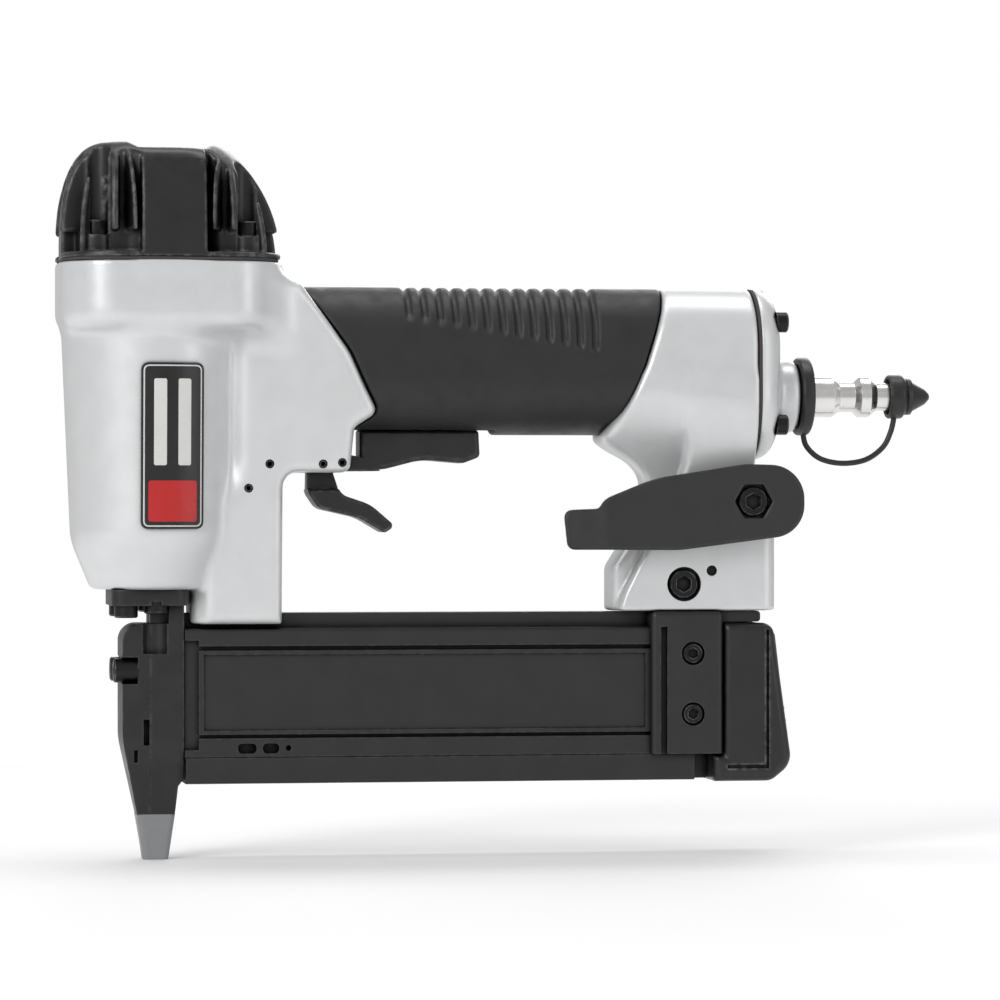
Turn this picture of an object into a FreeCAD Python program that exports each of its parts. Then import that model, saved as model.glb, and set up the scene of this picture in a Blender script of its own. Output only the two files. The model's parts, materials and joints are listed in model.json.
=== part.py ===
"""Pneumatic 23-gauge pin nailer, built as an assembly of separate named sub-parts.

Row frame, millimetres: the driver axis is the Z axis, z = 0 is the contact end of the nose,
+Z points up the driver axis to the head cap, and +X points back along the handle and magazine.
Each function makes one sub-part and every sub-part is written to parts/NODE.step.
"""
import FreeCAD
import Part
import math
import os

V = FreeCAD.Vector
X_DIR = V(1, 0, 0)
Y_DIR = V(0, 1, 0)
Z_DIR = V(0, 0, 1)
FAR = 400.0

# ---- driving dimensions -------------------------------------------------------------------
STROKE = 60.0                # travel of the piston and the driver blade
TIP_TOP_Z = 12.8             # nose steel starts above the no-mar tip
RAIL_Z0 = 21.4               # underside of the magazine
RAIL_Z1 = 28.9               # split between the drawer rail and the fixed track
TRACK_Z1 = 65.0              # shoulders of the fixed track
SPINE_Z1 = 69.2              # top of the rib along the track, which the casting's leg straddles
LEG_Z0 = 66.2                # underside of the leg
FLANGE_Z0 = 71.5             # nose flange
BODY_Z0 = 76.0               # underside of the barrel
FLOOR_Z = 84.0               # floor inside the barrel
COLLAR_Z0 = 148.0            # the barrel widens into the collar here
DECK_Z = 167.4               # top face of the casting, under the head cap
GASKET = 0.8
CHAMBER_Z1 = 191.0           # roof of the chamber inside the head cap
CAP_Z1 = 202.0               # top of the head cap

CAP_X0, CAP_X1 = -26.4, 35.0  # collar and head cap, front to back
CAP_HALF = 27.5              # collar and head cap, half width
CAP_CORNER = 15.0
CONE_R, BARREL_R0, BARREL_R1 = 17.2, 22.9, 25.6  # foot of the cone, its top, and the barrel's top
CONE_Z1 = 89.7
BORE_R = 20.2                # bore of the casting around the cylinder sleeve
SLEEVE_R, SLEEVE_BORE = 18.0, 16.0
BLADE_X, BLADE_Y = 0.6, 0.8  # half sizes of the driver blade
BUMPER_Z1 = FLOOR_Z + 12.0
PISTON_Z = BUMPER_Z1 + STROKE  # underside of the piston at rest

NOSE_X0, NOSE_X1, NOSE_HALF = -8.9, 8.3, 9.6
NOSE_SPLIT_X = -1.0          # the front plate meets the nose body here
TIP_X = 0.9                  # the tip's outline is centred this far behind the driver axis
FRONT_SCREW_Y, FRONT_SCREW_Z = 6.4, 53.3
FRONT_SEAT_X = -4.6          # seat of the two front plate screws

LEG_HALF, WING_HALF = 12.6, 18.4  # half width of the casting's leg at its foot and wing at its top
WING_Z1 = 161.4
LEG_X0, LEG_X1 = 10.2, 35.7
GRIP_Z0, GRIP_Z1 = 119.5, 161.3
GRIP_HALF = 16.6
RUBBER = 2.6                 # rubber thickness on the handle
RIB_FIRST_X, RIB_PITCH, RIB_COUNT = 70.5, 4.4, 13   # grooves across the rubber
RIB_DEPTH, RIB_WIDTH = 0.9, 1.7
RESERVOIR_Z, RESERVOIR_R = 141.0, 10.8
EXHAUST_Z, EXHAUST_R = 154.9, 2.3

HOUSING_X1 = 170.9           # parting plane between the casting and the end cap
HOUSING_Z0, HOUSING_Z1 = 112.3, 161.8
HOUSING_HALF, HOUSING_CORNER = 19.0, 18.0
END_X1 = 178.2
BOSS_X1, BOSS_R = 185.2, 10.4
PLUG_Z = 130.8               # air inlet axis
BUSH_R, THREAD_R = 8.0, 6.2
END_SEAT_X = END_X1 - 1.4    # the end cap's screws sit on this plane
EXHAUST_SLOTS = (-7.2, -2.4, 2.4, 7.2)
RING_X1 = 189.2              # rear face of the tether's ring
COLLAR_R = 5.9               # collar of a quarter-inch industrial plug
FOOT_HALF, TOE_HALF = 11.5, 7.0   # half widths of the foot that carries the magazine and of its toe
FOOT_X1, FOOT_Z0 = 177.5, 69.5

TRACK_X0, TRACK_X1 = 8.5, 161.6
TRACK_HALF = 10.0
CAVITY_HALF = 7.6
MOUNT_X0, MOUNT_HALF = 141.0, 12.6
MOUNT_Z1 = 69.4
SIDE_SEAT = 2.0              # depth of the counterbores in the mount's sides
LUG_HALF = 4.0               # half width of the rib and of the mount's lug
DRAWER_X0, DRAWER_X1 = 8.8, 153.8
WEB_X1, WEB_Z0 = 166.0, 22.8  # the drawer's web ends inside the tail cap
TAIL_HALF = 12.3
LATCH_X0 = 172.4             # floor of the latch recess in the tail cap
PIN_SLOT = 0.9               # width of the slot that carries 0.64 mm pins
PIN_Z0, PIN_Z1 = 24.0, 60.2
SPRING_X0, PUSHER_X1 = 20.1, 156.0  # ends of the channel behind the pusher

TRIGGER_PIVOT = (52.2, 111.5)
SAFETY_PIVOT = (46.8, 111.1)
GUIDE_PINS = ((31.8, 111.1), (25.9, 104.3))
PIN_R = 1.25                 # cross pins
RUN = 0.05                   # radial running clearance on every pivot
VALVE_X, VALVE_R = 66.0, 6.2
VALVE_Z0, VALVE_Z1 = 124.6, 149.0
POCKET_Z1 = 127.4            # roof of the pocket the trigger rises into
STEM_R = 1.5
HOOK_PIVOT = (169.2, 100.6)
HOOK_Y, HOOK_T = -16.0, 3.0  # inner face and thickness of the belt hook
HOOK_THREAD = 9.0
M5_R = 2.5
LATCH_PIVOT = (175.2, 60.6)
LATCH_PIN_HALF = 10.8        # the latch pin's left end
BRACKET_SCREW = (150.5, 77.1)
BRACKET_DOWEL = (158.5, 80.9)
DOWEL_R = 1.5
SIDE_SCREW_X, SIDE_SCREW_Z = 152.9, (40.2, 57.4)
TAIL_SCREW = (169.0, 4.6, 43.5)
CAP_SCREW_OFFSET = (21.0, 17.6)
SEAT_Z = 174.5               # the head cap's screws sit on this level
CROWN = (15.3, 12.5)         # centre of the ribs on each corner of the head cap, from its middle
CROWN_R = 8.5
CAP_POCKET_Z0 = 169.8        # floor of the corner pockets
CAP_PANEL = 6.2              # the pockets start this far before a crown's centre
# bearing in degrees, width and lowest z of each rib
CAP_RIBS = ((-17, 1.3, 175.6), (5, 1.9, 175.6), (45, 1.5, CAP_POCKET_Z0), (85, 1.9, 175.6), (107, 1.3, 175.6))
TETHER_R = 0.8
TETHER_HINGE = (209.4, 114.6)  # where the strap bends when the dust cap comes off
DUST_X0 = 212.4
COIL_STEPS = 12              # straight lengths of wire in one turn of a spring


# ---- geometry helpers ---------------------------------------------------------------------
def rod(direction, start, radius, length):
    """A cylinder from a start point (x, y, z) along a direction."""
    return Part.makeCylinder(radius, length, V(*start), direction)


def block(x0, x1, y0, y1, z0, z1):
    return Part.makeBox(x1 - x0, y1 - y0, z1 - z0, V(x0, y0, z0))


def rounded_wire(corners, place):
    """A closed wire through (u, v) or (u, v, radius) corners; place turns (u, v) into a point."""
    ends = []
    count = len(corners)
    for i, corner in enumerate(corners):
        here = V(corner[0], corner[1], 0)
        radius = corner[2] if len(corner) > 2 else 0.0
        back = (V(*corners[i - 1][:2], 0) - here).normalize()
        on = (V(*corners[(i + 1) % count][:2], 0) - here).normalize()
        if radius <= 0:
            ends.append((here, None, here))
            continue
        half = back.getAngle(on) / 2
        cut = radius / math.tan(half)
        middle = (back + on).normalize()
        arc_mid = here + middle * (radius / math.sin(half) - radius)
        ends.append((here + back * cut, arc_mid, here + on * cut))
    edges = []
    for i, (start, arc_mid, end) in enumerate(ends):
        following = ends[(i + 1) % count][0]
        if arc_mid is not None:
            edges.append(Part.Arc(*(place(p.x, p.y) for p in (start, arc_mid, end))).toShape())
        if (following - end).Length > 1e-6:
            edges.append(Part.makeLine(place(end.x, end.y), place(following.x, following.y)))
    return Part.Wire(edges)


def plate_y(corners, y0, y1):
    """An (x, z) outline extruded from y0 to y1."""
    wire = rounded_wire(corners, lambda x, z: V(x, y0, z))
    return Part.Face(wire).extrude(V(0, y1 - y0, 0))


def plate_x(corners, x0, x1):
    """A (y, z) outline extruded from x0 to x1."""
    wire = rounded_wire(corners, lambda y, z: V(x0, y, z))
    return Part.Face(wire).extrude(V(x1 - x0, 0, 0))


def plate_z(corners, z0, z1):
    """An (x, y) outline extruded from z0 to z1."""
    wire = rounded_wire(corners, lambda x, y: V(x, y, z0))
    return Part.Face(wire).extrude(V(0, 0, z1 - z0))


def box_corners(u0, u1, v0, v1, radius):
    return [(u0, v0, radius), (u1, v0, radius), (u1, v1, radius), (u0, v1, radius)]


def turned(profile, axis_point=(0, 0, 0), axis=Z_DIR):
    """A solid of revolution; profile is a list of (radius, height) around the given axis."""
    side = X_DIR if axis == Z_DIR else Z_DIR
    base = V(*axis_point)
    points = [base + side * r + axis * h for r, h in profile]
    return Part.Face(Part.makePolygon(points + [points[0]])).revolve(base, axis, 360)


def join(*shapes):
    return shapes[0].multiFuse(list(shapes[1:])).removeSplitter()


def soften(shape, radius, wanted):
    """Fillets the edges that wanted() picks; a radius that fails is tried smaller, then left out."""
    edges = [e for e in shape.Edges if wanted(e)]
    for trial in (radius, radius * 0.6, radius * 0.3):
        try:
            made = shape.makeFillet(trial, edges)
            if made.isValid() and made.Volume > 0:
                return made
        except Part.OCCError:
            continue
    return shape


def at_x(x, tolerance=0.01):
    return lambda e: abs(e.BoundBox.XMin - x) < tolerance and abs(e.BoundBox.XMax - x) < tolerance


def at_y(y, tolerance=0.01):
    return lambda e: abs(e.BoundBox.YMin - y) < tolerance and abs(e.BoundBox.YMax - y) < tolerance


def at_z(z, tolerance=0.01):
    return lambda e: abs(e.BoundBox.ZMin - z) < tolerance and abs(e.BoundBox.ZMax - z) < tolerance


def coil(radius, wire, start, direction, length, turns):
    """A helical spring of short straight lengths of wire, which just reaches both ends of its length."""
    count = int(turns * COIL_STEPS)
    sections = []
    for k in range(count + 1):
        angle = math.tau * turns * k / count
        height = wire + (length - 2 * wire) * k / count
        centre = V(radius * math.cos(angle), radius * math.sin(angle), height)
        tangent = V(-math.sin(angle), math.cos(angle), 0)
        sections.append(Part.Wire([Part.makeCircle(wire, centre, tangent)]))
    spring = Part.makeLoft(sections, True, True)
    spring.Placement = FreeCAD.Placement(V(*start), FreeCAD.Rotation(Z_DIR, direction))
    return spring


def ring(direction, centre, radius, wire):
    return Part.makeTorus(radius, wire, V(*centre), direction)


def hexagon(direction, start, across_flats, length):
    """A hexagonal prism along X, Y or Z."""
    radius = across_flats / math.sqrt(3)
    side = Y_DIR if direction == X_DIR else X_DIR
    up = side.cross(direction)
    points = []
    for k in range(6):
        angle = math.radians(60 * k + 30)
        points.append(V(*start) + side * (radius * math.cos(angle)) + up * (radius * math.sin(angle)))
    return Part.Face(Part.makePolygon(points + [points[0]])).extrude(direction * length)


def cap_screw(direction, seat, shank_r, shank_length, head_r, head_length):
    """A socket head screw: the shank runs from the seat along direction, and the head the other way."""
    seat = V(*seat)
    shank = Part.makeCylinder(shank_r, shank_length, seat, direction)
    top = seat - direction * head_length
    head = Part.makeCylinder(head_r, head_length, top, direction)
    rim = [e for e in head.Edges if abs((e.CenterOfMass - top).dot(direction)) < 1e-6]
    head = head.makeChamfer(head_r * 0.12, [e for e in rim if e.Closed])
    made = head.fuse(shank).removeSplitter()
    step = direction * (head_length * 0.55)
    socket = hexagon(abs_direction(direction), tuple(top if positive(direction) else top + step),
                     head_r * 0.95, head_length * 0.55)
    return made.cut(socket)


def both_sides(depth, half, make):
    """Cutters for a mirrored pair of recesses; make(y0, y1) builds one, from depth inside each side."""
    return Part.makeCompound([make(-half - 5, -half + depth), make(half - depth, half + 5)])


def positive(direction):
    return direction.x + direction.y + direction.z > 0


def abs_direction(direction):
    return V(abs(direction.x), abs(direction.y), abs(direction.z))


# ---- shared outlines ----------------------------------------------------------------------
WING_OUTLINE = [
    (0, WING_Z1), (40.5, WING_Z1, 1.5), (54.4, 142.8, 20), (62.4, 125.6, 2.6), (55.8, 121.4, 2.0),
    (54.6, 108.7, 2.5), (LEG_X1, 108.7, 4.0), (LEG_X1, LEG_Z0), (LEG_X0, LEG_Z0), (LEG_X0, 92.0),
    (0, 92.0),
]
HOUSING_OUTLINE = [
    (146.0, 165.0), (HOUSING_X1, 165.0), (HOUSING_X1, 108.0, 4), (FOOT_X1, 98.0, 6), (FOOT_X1, FOOT_Z0, 5),
    (130.0, FOOT_Z0, 1.5), (130.0, 82.0, 4), (140.2, 98.0, 10), (139.8, 110.0, 12), (130.3, 119.0),
    (138.6, 138.7, 30), (143.4, 154.0, 20),
]
TAIL_OUTLINE = [
    (TRACK_X1 + 0.3, 66.0, 0.8), (176.4, 66.0, 3.5), (182.0, 25.8, 6), (176.0, 20.9, 5),
    (159.0, 20.9, 1.0), (159.0, RAIL_Z1 - 0.3, 0.6), (TRACK_X1 + 0.3, RAIL_Z1 - 0.3),
]


def handle_section(inset, x0, x1):
    """The handle's oval section, inset from the rubber's surface, between two x planes."""
    corners = box_corners(-GRIP_HALF + inset, GRIP_HALF - inset, GRIP_Z0 + inset, GRIP_Z1 - inset,
                          GRIP_HALF - inset - 0.5)
    return plate_x(corners, x0, x1)


def head_section(inset, z):
    """The wire of the collar's and head cap's outline at one height; inset is (front, back, side)."""
    front, back, side = inset
    corners = box_corners(CAP_X0 + front, CAP_X1 - back, -CAP_HALF + side, CAP_HALF - side,
                          CAP_CORNER - min(inset) * 0.4)
    return rounded_wire(corners, lambda x, y: V(x, y, z))


def cap_screw_places():
    middle = (CAP_X0 + CAP_X1) / 2
    dx, dy = CAP_SCREW_OFFSET
    return [(middle + sx * dx, sy * dy) for sx in (-1, 1) for sy in (-1, 1)]


def end_screw_places():
    middle = (HOUSING_Z0 + HOUSING_Z1) / 2
    return [(sy * 12.4, middle + sz * 14.6) for sy in (-1, 1) for sz in (-1, 1)]


# ---- body ---------------------------------------------------------------------------------
def barrel_outside(extra=0.0):
    """The barrel's cone and taper, grown outwards by extra."""
    return turned([(0, BODY_Z0), (CONE_R + extra, BODY_Z0), (BARREL_R0 + extra, CONE_Z1),
                   (BARREL_R1 + extra, COLLAR_Z0 + 4), (0, COLLAR_Z0 + 4)])


def wing_half(z):
    """Half width of the wing and leg, which taper towards the magazine."""
    return LEG_HALF + (WING_HALF - LEG_HALF) * (z - TRACK_Z1) / (WING_Z1 - TRACK_Z1)


def on_wing_side(edge):
    return all(abs(abs(v.Y) - wing_half(v.Z)) < 0.01 for v in edge.Vertexes)


def wing_and_leg():
    low, high = TRACK_Z1 - 5, WING_Z1 + 5
    wedge = plate_x([(-wing_half(low), low), (-wing_half(high), high), (wing_half(high), high),
                     (wing_half(low), low)], -5, 80)
    wing = plate_y(WING_OUTLINE, -30, 30).common(wedge)
    wing = soften(wing, 4.5, lambda e: on_wing_side(e) and abs(e.CenterOfMass.x - LEG_X0) < 0.01)
    return soften(wing, 2.2, lambda e: on_wing_side(e) and e.CenterOfMass.x > LEG_X1 - 0.01)


def rear_housing():
    """The rear of the handle, wider than the grip, with the column below it."""
    sections = [(125, GRIP_HALF + 0.9, GRIP_Z0 - 0.9, GRIP_Z1 + 0.5, 16.0),
                (148, HOUSING_HALF - 0.8, 116.0, HOUSING_Z1, 17.0),
                (HOUSING_X1, HOUSING_HALF, HOUSING_Z0, HOUSING_Z1, HOUSING_CORNER)]
    wires = [rounded_wire(box_corners(-half, half, low, high, corner), lambda y, z, x=x: V(x, y, z))
             for x, half, low, high, corner in sections]
    shell = Part.makeLoft(wires, True, False).common(plate_y(HOUSING_OUTLINE, -30, 30))
    column = plate_y(HOUSING_OUTLINE, -FOOT_HALF, FOOT_HALF).cut(block(120, 190, -30, 30, 126, 170))
    column = soften(column, 4.5, lambda e: (at_y(-FOOT_HALF)(e) or at_y(FOOT_HALF)(e))
                    and (e.CenterOfMass.x > 171 or 84 < e.CenterOfMass.z < 119))
    toe = plate_y([(120, 60), (130.8, 69.4), (138.6, 85.0), (138.6, 87.0), (120, 87.0)], TOE_HALF, 20)
    column = column.cut(toe).cut(toe.mirror(V(0, 0, 0), Y_DIR))
    boss = rod(Y_DIR, (HOOK_PIVOT[0], HOOK_Y + 0.4, HOOK_PIVOT[1]), 7.6, -2 * HOOK_Y - 0.8)
    return join(shell, column, boss)


def body_casting():
    """One die casting: barrel, collar, wing, handle core, rear housing and magazine foot."""
    collar = Part.Face(head_section((0, 0, 0), COLLAR_Z0)).extrude(V(0, 0, DECK_Z - COLLAR_Z0))
    collar = soften(collar, 4.0, at_z(COLLAR_Z0))
    core = handle_section(RUBBER, 30, 150)
    valve_boss = rod(Z_DIR, (VALVE_X, 0, POCKET_Z1), VALVE_R + 2.2, VALVE_Z1 - POCKET_Z1)
    body = join(barrel_outside(), collar, wing_and_leg(), core, rear_housing())
    body = body.cut(rod(X_DIR, (17, 0, RESERVOIR_Z), RESERVOIR_R, 170))
    body = join(body, valve_boss.common(handle_section(RUBBER + 1, 50, 90)))
    cuts = [
        rod(Z_DIR, (0, 0, FLOOR_Z), BORE_R, FAR),
        rod(Z_DIR, (0, 0, 60), 3.0, 40),
        rod(X_DIR, (26, 0, EXHAUST_Z), EXHAUST_R, 160),
        rod(Z_DIR, (VALVE_X, 0, 120), VALVE_R, FAR - 120).common(block(0, 100, -9, 9, 100, VALVE_Z1)),
        # slot in the leg for the magazine's rib
        block(LEG_X0 - 1, LEG_X1 + 1, -LUG_HALF - 0.1, LUG_HALF + 0.1, 60, SPINE_Z1),
        # slot for the two levers, and the pocket the trigger rises into
        block(42.4, 70, -6, 6, 90, 122),
        block(56.6, 96, -6, 6, 100, POCKET_Z1),
        # slot, screw and dowel holes in the foot
        block(141.6, 163.0, -LUG_HALF - 0.1, LUG_HALF + 0.1, 60, 86.0),
        rod(Y_DIR, (BRACKET_SCREW[0], -30, BRACKET_SCREW[1]), M5_R, 60),
        rod(Y_DIR, (BRACKET_SCREW[0], -FOOT_HALF - 1, BRACKET_SCREW[1]), 4.9, 4.4),
        hexagon(Y_DIR, (BRACKET_SCREW[0], FOOT_HALF - 3.4, BRACKET_SCREW[1]), 8.0, 10),
        rod(Y_DIR, (BRACKET_DOWEL[0], -30, BRACKET_DOWEL[1]), DOWEL_R, 60),
        # threaded holes for the belt hook, one on each side
        rod(Y_DIR, (HOOK_PIVOT[0], HOOK_Y, HOOK_PIVOT[1]), M5_R, HOOK_THREAD),
        rod(Y_DIR, (HOOK_PIVOT[0], -HOOK_Y - HOOK_THREAD, HOOK_PIVOT[1]), M5_R, HOOK_THREAD),
    ]
    cuts += [rod(Z_DIR, (x, y, DECK_Z - 12), 1.9, 20) for x, y in cap_screw_places()]
    cuts += [rod(X_DIR, (HOUSING_X1 - 10, y, z), 1.6, 20) for y, z in end_screw_places()]
    cuts += [rod(Z_DIR, (x, y, BODY_Z0 - 1), 1.8, 6.6) for x, y in flange_screw_places()]
    cuts += [rod(Y_DIR, (x, -30, z), PIN_R, 60) for x, z in (TRIGGER_PIVOT, SAFETY_PIVOT) + GUIDE_PINS]
    return body.cut(Part.makeCompound(cuts))


def name_badge():
    """A plain raised plate on the barrel's left side; it follows the barrel's taper."""
    outline = plate_y(box_corners(-4.9, 12.7, 93.0, 139.0, 1.6), -40, 0)
    return outline.common(barrel_outside(0.9)).cut(barrel_outside())


# ---- handle -------------------------------------------------------------------------------
def grip_sleeve():
    """Rubber over the handle core, with finger grooves across its top."""
    sleeve = handle_section(0, 30, 150)
    for k in range(RIB_COUNT):
        x = RIB_FIRST_X + k * RIB_PITCH
        inner = handle_section(RIB_DEPTH, x - 1, x + RIB_WIDTH + 1)
        groove = handle_section(-1, x, x + RIB_WIDTH).cut(inner)
        bottom = 151.5 - 0.75 * k
        sleeve = sleeve.cut(groove.common(block(x - 1, x + RIB_WIDTH + 1, -30, 30, bottom, 170)))
    sleeve = sleeve.cut(plate_y(WING_OUTLINE, -30, 30))
    sleeve = sleeve.cut(plate_y(HOUSING_OUTLINE, -30, 30))
    sleeve = sleeve.cut(handle_section(RUBBER, 20, 160))
    return sleeve.cut(block(50, 96.5, -6.3, 6.3, 110, 125))


# ---- head ---------------------------------------------------------------------------------
def head_cap():
    """Moulded head cap: domed, with finned corners that shroud its four screws."""
    levels = [(DECK_Z + GASKET, 0, 0, 0), (177.5, 0.3, 1.2, 0.4), (187.5, 1.1, 5.0, 1.4),
              (194.5, 3.0, 9.6, 3.4), (199.0, 6.0, 13.8, 6.4), (CAP_Z1, 11.4, 17.6, 11.4)]
    wires = [head_section((front, back, side), z) for z, front, back, side in levels]
    cap = Part.makeLoft(wires, True, False)
    cap = cap.cut(rod(Z_DIR, (0, 0, 150), BORE_R, CHAMBER_Z1 - 150))
    for x, y in cap_screw_places():
        cap = cap.cut(corner_pocket(x, y))
        cap = cap.cut(rod(Z_DIR, (x, y, 160), 2.1, 30))
        cap = cap.cut(rod(Z_DIR, (x, y, SEAT_Z), 3.8, 40))
    return cap.cut(rod(Z_DIR, (0, 0, CHAMBER_Z1 - 1), 2.0, 6))


def corner_pocket(screw_x, screw_y):
    """The open pocket around one corner's crown, crossed by ribs that fan out from the crown."""
    middle = (CAP_X0 + CAP_X1) / 2
    sx = 1 if screw_x > middle else -1
    sy = 1 if screw_y > 0 else -1
    cx, cy = middle + sx * CROWN[0], sy * CROWN[1]
    x0, x1 = sorted((cx - sx * CAP_PANEL, cx + sx * 24))
    y0, y1 = sorted((cy - sy * CAP_PANEL, cy + sy * 24))
    # the crown, the wall around the chamber, the screw's seat and the ribs stay
    kept = [
        rod(Z_DIR, (cx, cy, 160), CROWN_R, 80),
        rod(Z_DIR, (0, 0, 160), BORE_R + 2.5, 80),
        rod(Z_DIR, (screw_x, screw_y, 160), 4.6, SEAT_Z - 160),
    ]
    for bearing, width, foot in CAP_RIBS:
        angle = math.radians(bearing)
        rib = block(0, 40, -width / 2, width / 2, foot, 240)
        rib.rotate(V(0, 0, 0), Z_DIR, math.degrees(math.atan2(sy * math.cos(angle), sx * math.sin(angle))))
        rib.translate(V(cx, cy, 0))
        kept.append(rib)
    return block(x0, x1, y0, y1, CAP_POCKET_Z0, 230).cut(kept)


def cap_gasket():
    """Flat gasket between the casting and the head cap."""
    sheet = Part.Face(head_section((0.6, 0.6, 0.6), DECK_Z)).extrude(V(0, 0, GASKET))
    sheet = sheet.cut(rod(Z_DIR, (0, 0, 150), BORE_R, 40))
    for x, y in cap_screw_places():
        sheet = sheet.cut(rod(Z_DIR, (x, y, 150), 2.1, 40))
    return sheet


def cap_screws():
    return Part.makeCompound([cap_screw(-Z_DIR, (x, y, SEAT_Z), 1.9, 18.0, 3.5, 4.0)
                              for x, y in cap_screw_places()])


def cylinder_sleeve():
    """The liner the piston runs in, with return ports near its foot and a sealing flange."""
    top = 166.0
    groove_r = BORE_R - 1.9
    liner = turned([(SLEEVE_BORE, FLOOR_Z), (SLEEVE_R, FLOOR_Z), (SLEEVE_R, 140), (BORE_R, 140),
                    (BORE_R, 141.6), (groove_r, 141.6), (groove_r, 144.4), (BORE_R, 144.4), (BORE_R, 146),
                    (SLEEVE_R, 146), (SLEEVE_R, top), (SLEEVE_BORE, top)])
    ports = []
    for k in range(8):
        port = rod(X_DIR, (10, 0, FLOOR_Z + 16), 1.2, 12)
        port.rotate(V(0, 0, 0), Z_DIR, 45 * k)
        ports.append(port)
    return liner.cut(Part.makeCompound(ports))


def cylinder_oring():
    return ring(Z_DIR, (0, 0, 143.0), BORE_R - 0.95, 0.9)


def bumper():
    """Rubber ring that stops the piston."""
    top = BUMPER_Z1
    return turned([(7.0, FLOOR_Z), (15.6, FLOOR_Z), (15.6, FLOOR_Z + 8), (14.2, top), (7.0, top)])


def piston():
    """Aluminium piston with an O-ring groove and a boss that holds the driver blade."""
    low = PISTON_Z
    face = low + 9
    body = turned([(0, low - 6), (6.4, low - 6), (6.4, low), (15.9, low), (15.9, low + 3), (14.2, low + 3),
                   (14.2, low + 6), (15.9, low + 6), (15.9, face), (9, face), (8, face - 3), (0, face - 3)])
    return body.cut(block(-BLADE_X, BLADE_X, -BLADE_Y, BLADE_Y, low - 7, low + 3))


def piston_oring():
    return ring(Z_DIR, (0, 0, PISTON_Z + 4.5), 15.05, 0.84)


def driver_blade():
    """Hardened blade that drives the pin; it hangs from the piston's boss."""
    return block(-BLADE_X, BLADE_X, -BLADE_Y, BLADE_Y, STROKE, PISTON_Z + 3)


def head_valve():
    """Annular valve that seals the top of the sleeve and lifts to admit air."""
    return turned([(11.0, 166.3), (19.9, 166.3), (19.9, 171), (18.3, 171), (18.3, 173.8), (19.9, 173.8),
                   (19.9, 177), (14.0, 177), (14.0, 180), (11.0, 180)])


def head_valve_oring():
    return ring(Z_DIR, (0, 0, 172.4), 19.05, 0.74)


def head_valve_spring():
    return coil(16.4, 0.7, (0, 0, 177.1), Z_DIR, CHAMBER_Z1 - 177.2, 4)


# ---- nose ---------------------------------------------------------------------------------
def flange_screw_places():
    return [(-8.0, -10.3), (-8.0, 10.3), (0.2, -10.8), (0.2, 10.8)]


def screw_pockets():
    """Clearance beside the nose for the key that turns the two rear flange screws."""
    x = flange_screw_places()[-1][0]
    return Part.makeCompound([rod(Z_DIR, (x, y, 58), 3.6, FLANGE_Z0 + 1.2 - 58) for y in (-10.8, 10.8)])


def nose_envelope():
    """The nose as seen from the side, cut to its shape as seen from the front."""
    side = plate_y([(NOSE_X0, 66.4, 5), (NOSE_X0, 34.0, 25), (TIP_X - 5.4, TIP_TOP_Z),
                    (TIP_X + 5.2, TIP_TOP_Z), (6.9, RAIL_Z0 - 0.6), (NOSE_X1, RAIL_Z0 + 1.2),
                    (NOSE_X1, 66.4)], -20, 20)
    half = NOSE_HALF
    front = plate_x([(-half, 67, 0), (-half, 33, 14), (-5.0, TIP_TOP_Z), (5.0, TIP_TOP_Z), (half, 33, 14),
                     (half, 67, 0)], -20, 20)
    return side.common(front)


def front_screw_places():
    return [(-FRONT_SCREW_Y, FRONT_SCREW_Z), (FRONT_SCREW_Y, FRONT_SCREW_Z)]


def nose_body():
    """Rear half of the nose: it guides the blade, takes pins from the magazine and bolts to the barrel."""
    low = nose_envelope().common(block(NOSE_SPLIT_X, 20, -20, 20, 0, 80))
    neck = block(NOSE_SPLIT_X, NOSE_X1, -7.0, 7.0, 60, FLANGE_Z0 + 1)
    spine = block(4.0, NOSE_X1, -NOSE_HALF, NOSE_HALF, 60, FLANGE_Z0 + 1)
    flange = plate_z(box_corners(-12.2, 9.3, -14.2, 14.2, 3.5), FLANGE_Z0, BODY_Z0)
    body = join(low, neck, spine, flange).cut(screw_pockets())
    body = body.cut(block(NOSE_SPLIT_X - 1, 1.0, -1.0, 1.0, 0, FLANGE_Z0))
    body = body.cut(block(-1.0, 1.0, -1.0, 1.0, 50, 90))
    body = body.cut(block(0, 10, -PIN_SLOT / 2, PIN_SLOT / 2, PIN_Z0, PIN_Z1))
    for x, y in flange_screw_places():
        body = body.cut(rod(Z_DIR, (x, y, FLANGE_Z0 - 1), 2.0, 10))
    for y, z in front_screw_places():
        body = body.cut(rod(X_DIR, (-5, y, z), 1.6, 12))
    return body


def nose_front_plate():
    """Removable front half of the nose, for clearing jams."""
    plate = nose_envelope().common(block(-20, NOSE_SPLIT_X, -20, 20, 0, 70)).cut(screw_pockets())
    for y, z in front_screw_places():
        side = 1 if y > 0 else -1
        plate = plate.cut(rod(X_DIR, (-20, y, z), 1.7, 30))
        plate = plate.cut(rod(X_DIR, (-20, y, z), 3.7, 20 + FRONT_SEAT_X))
        plate = plate.cut(block(-20, FRONT_SEAT_X, min(y, side * 14), max(y, side * 14), z - 3.7, z + 3.7))
    plate = plate.cut(both_sides(2.4, NOSE_HALF, lambda a, b: block(-3.0, -1.4, a, b, 32.4, 39.6)))
    return plate.cut(both_sides(2.4, NOSE_HALF, lambda a, b: block(-5.6, -4.6, a, b, 27.6, 31.0)))


def nose_plate_screws():
    return Part.makeCompound([cap_screw(X_DIR, (FRONT_SEAT_X, y, z), 1.6, 11.2, 3.4, 6.7)
                              for y, z in front_screw_places()])


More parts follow.
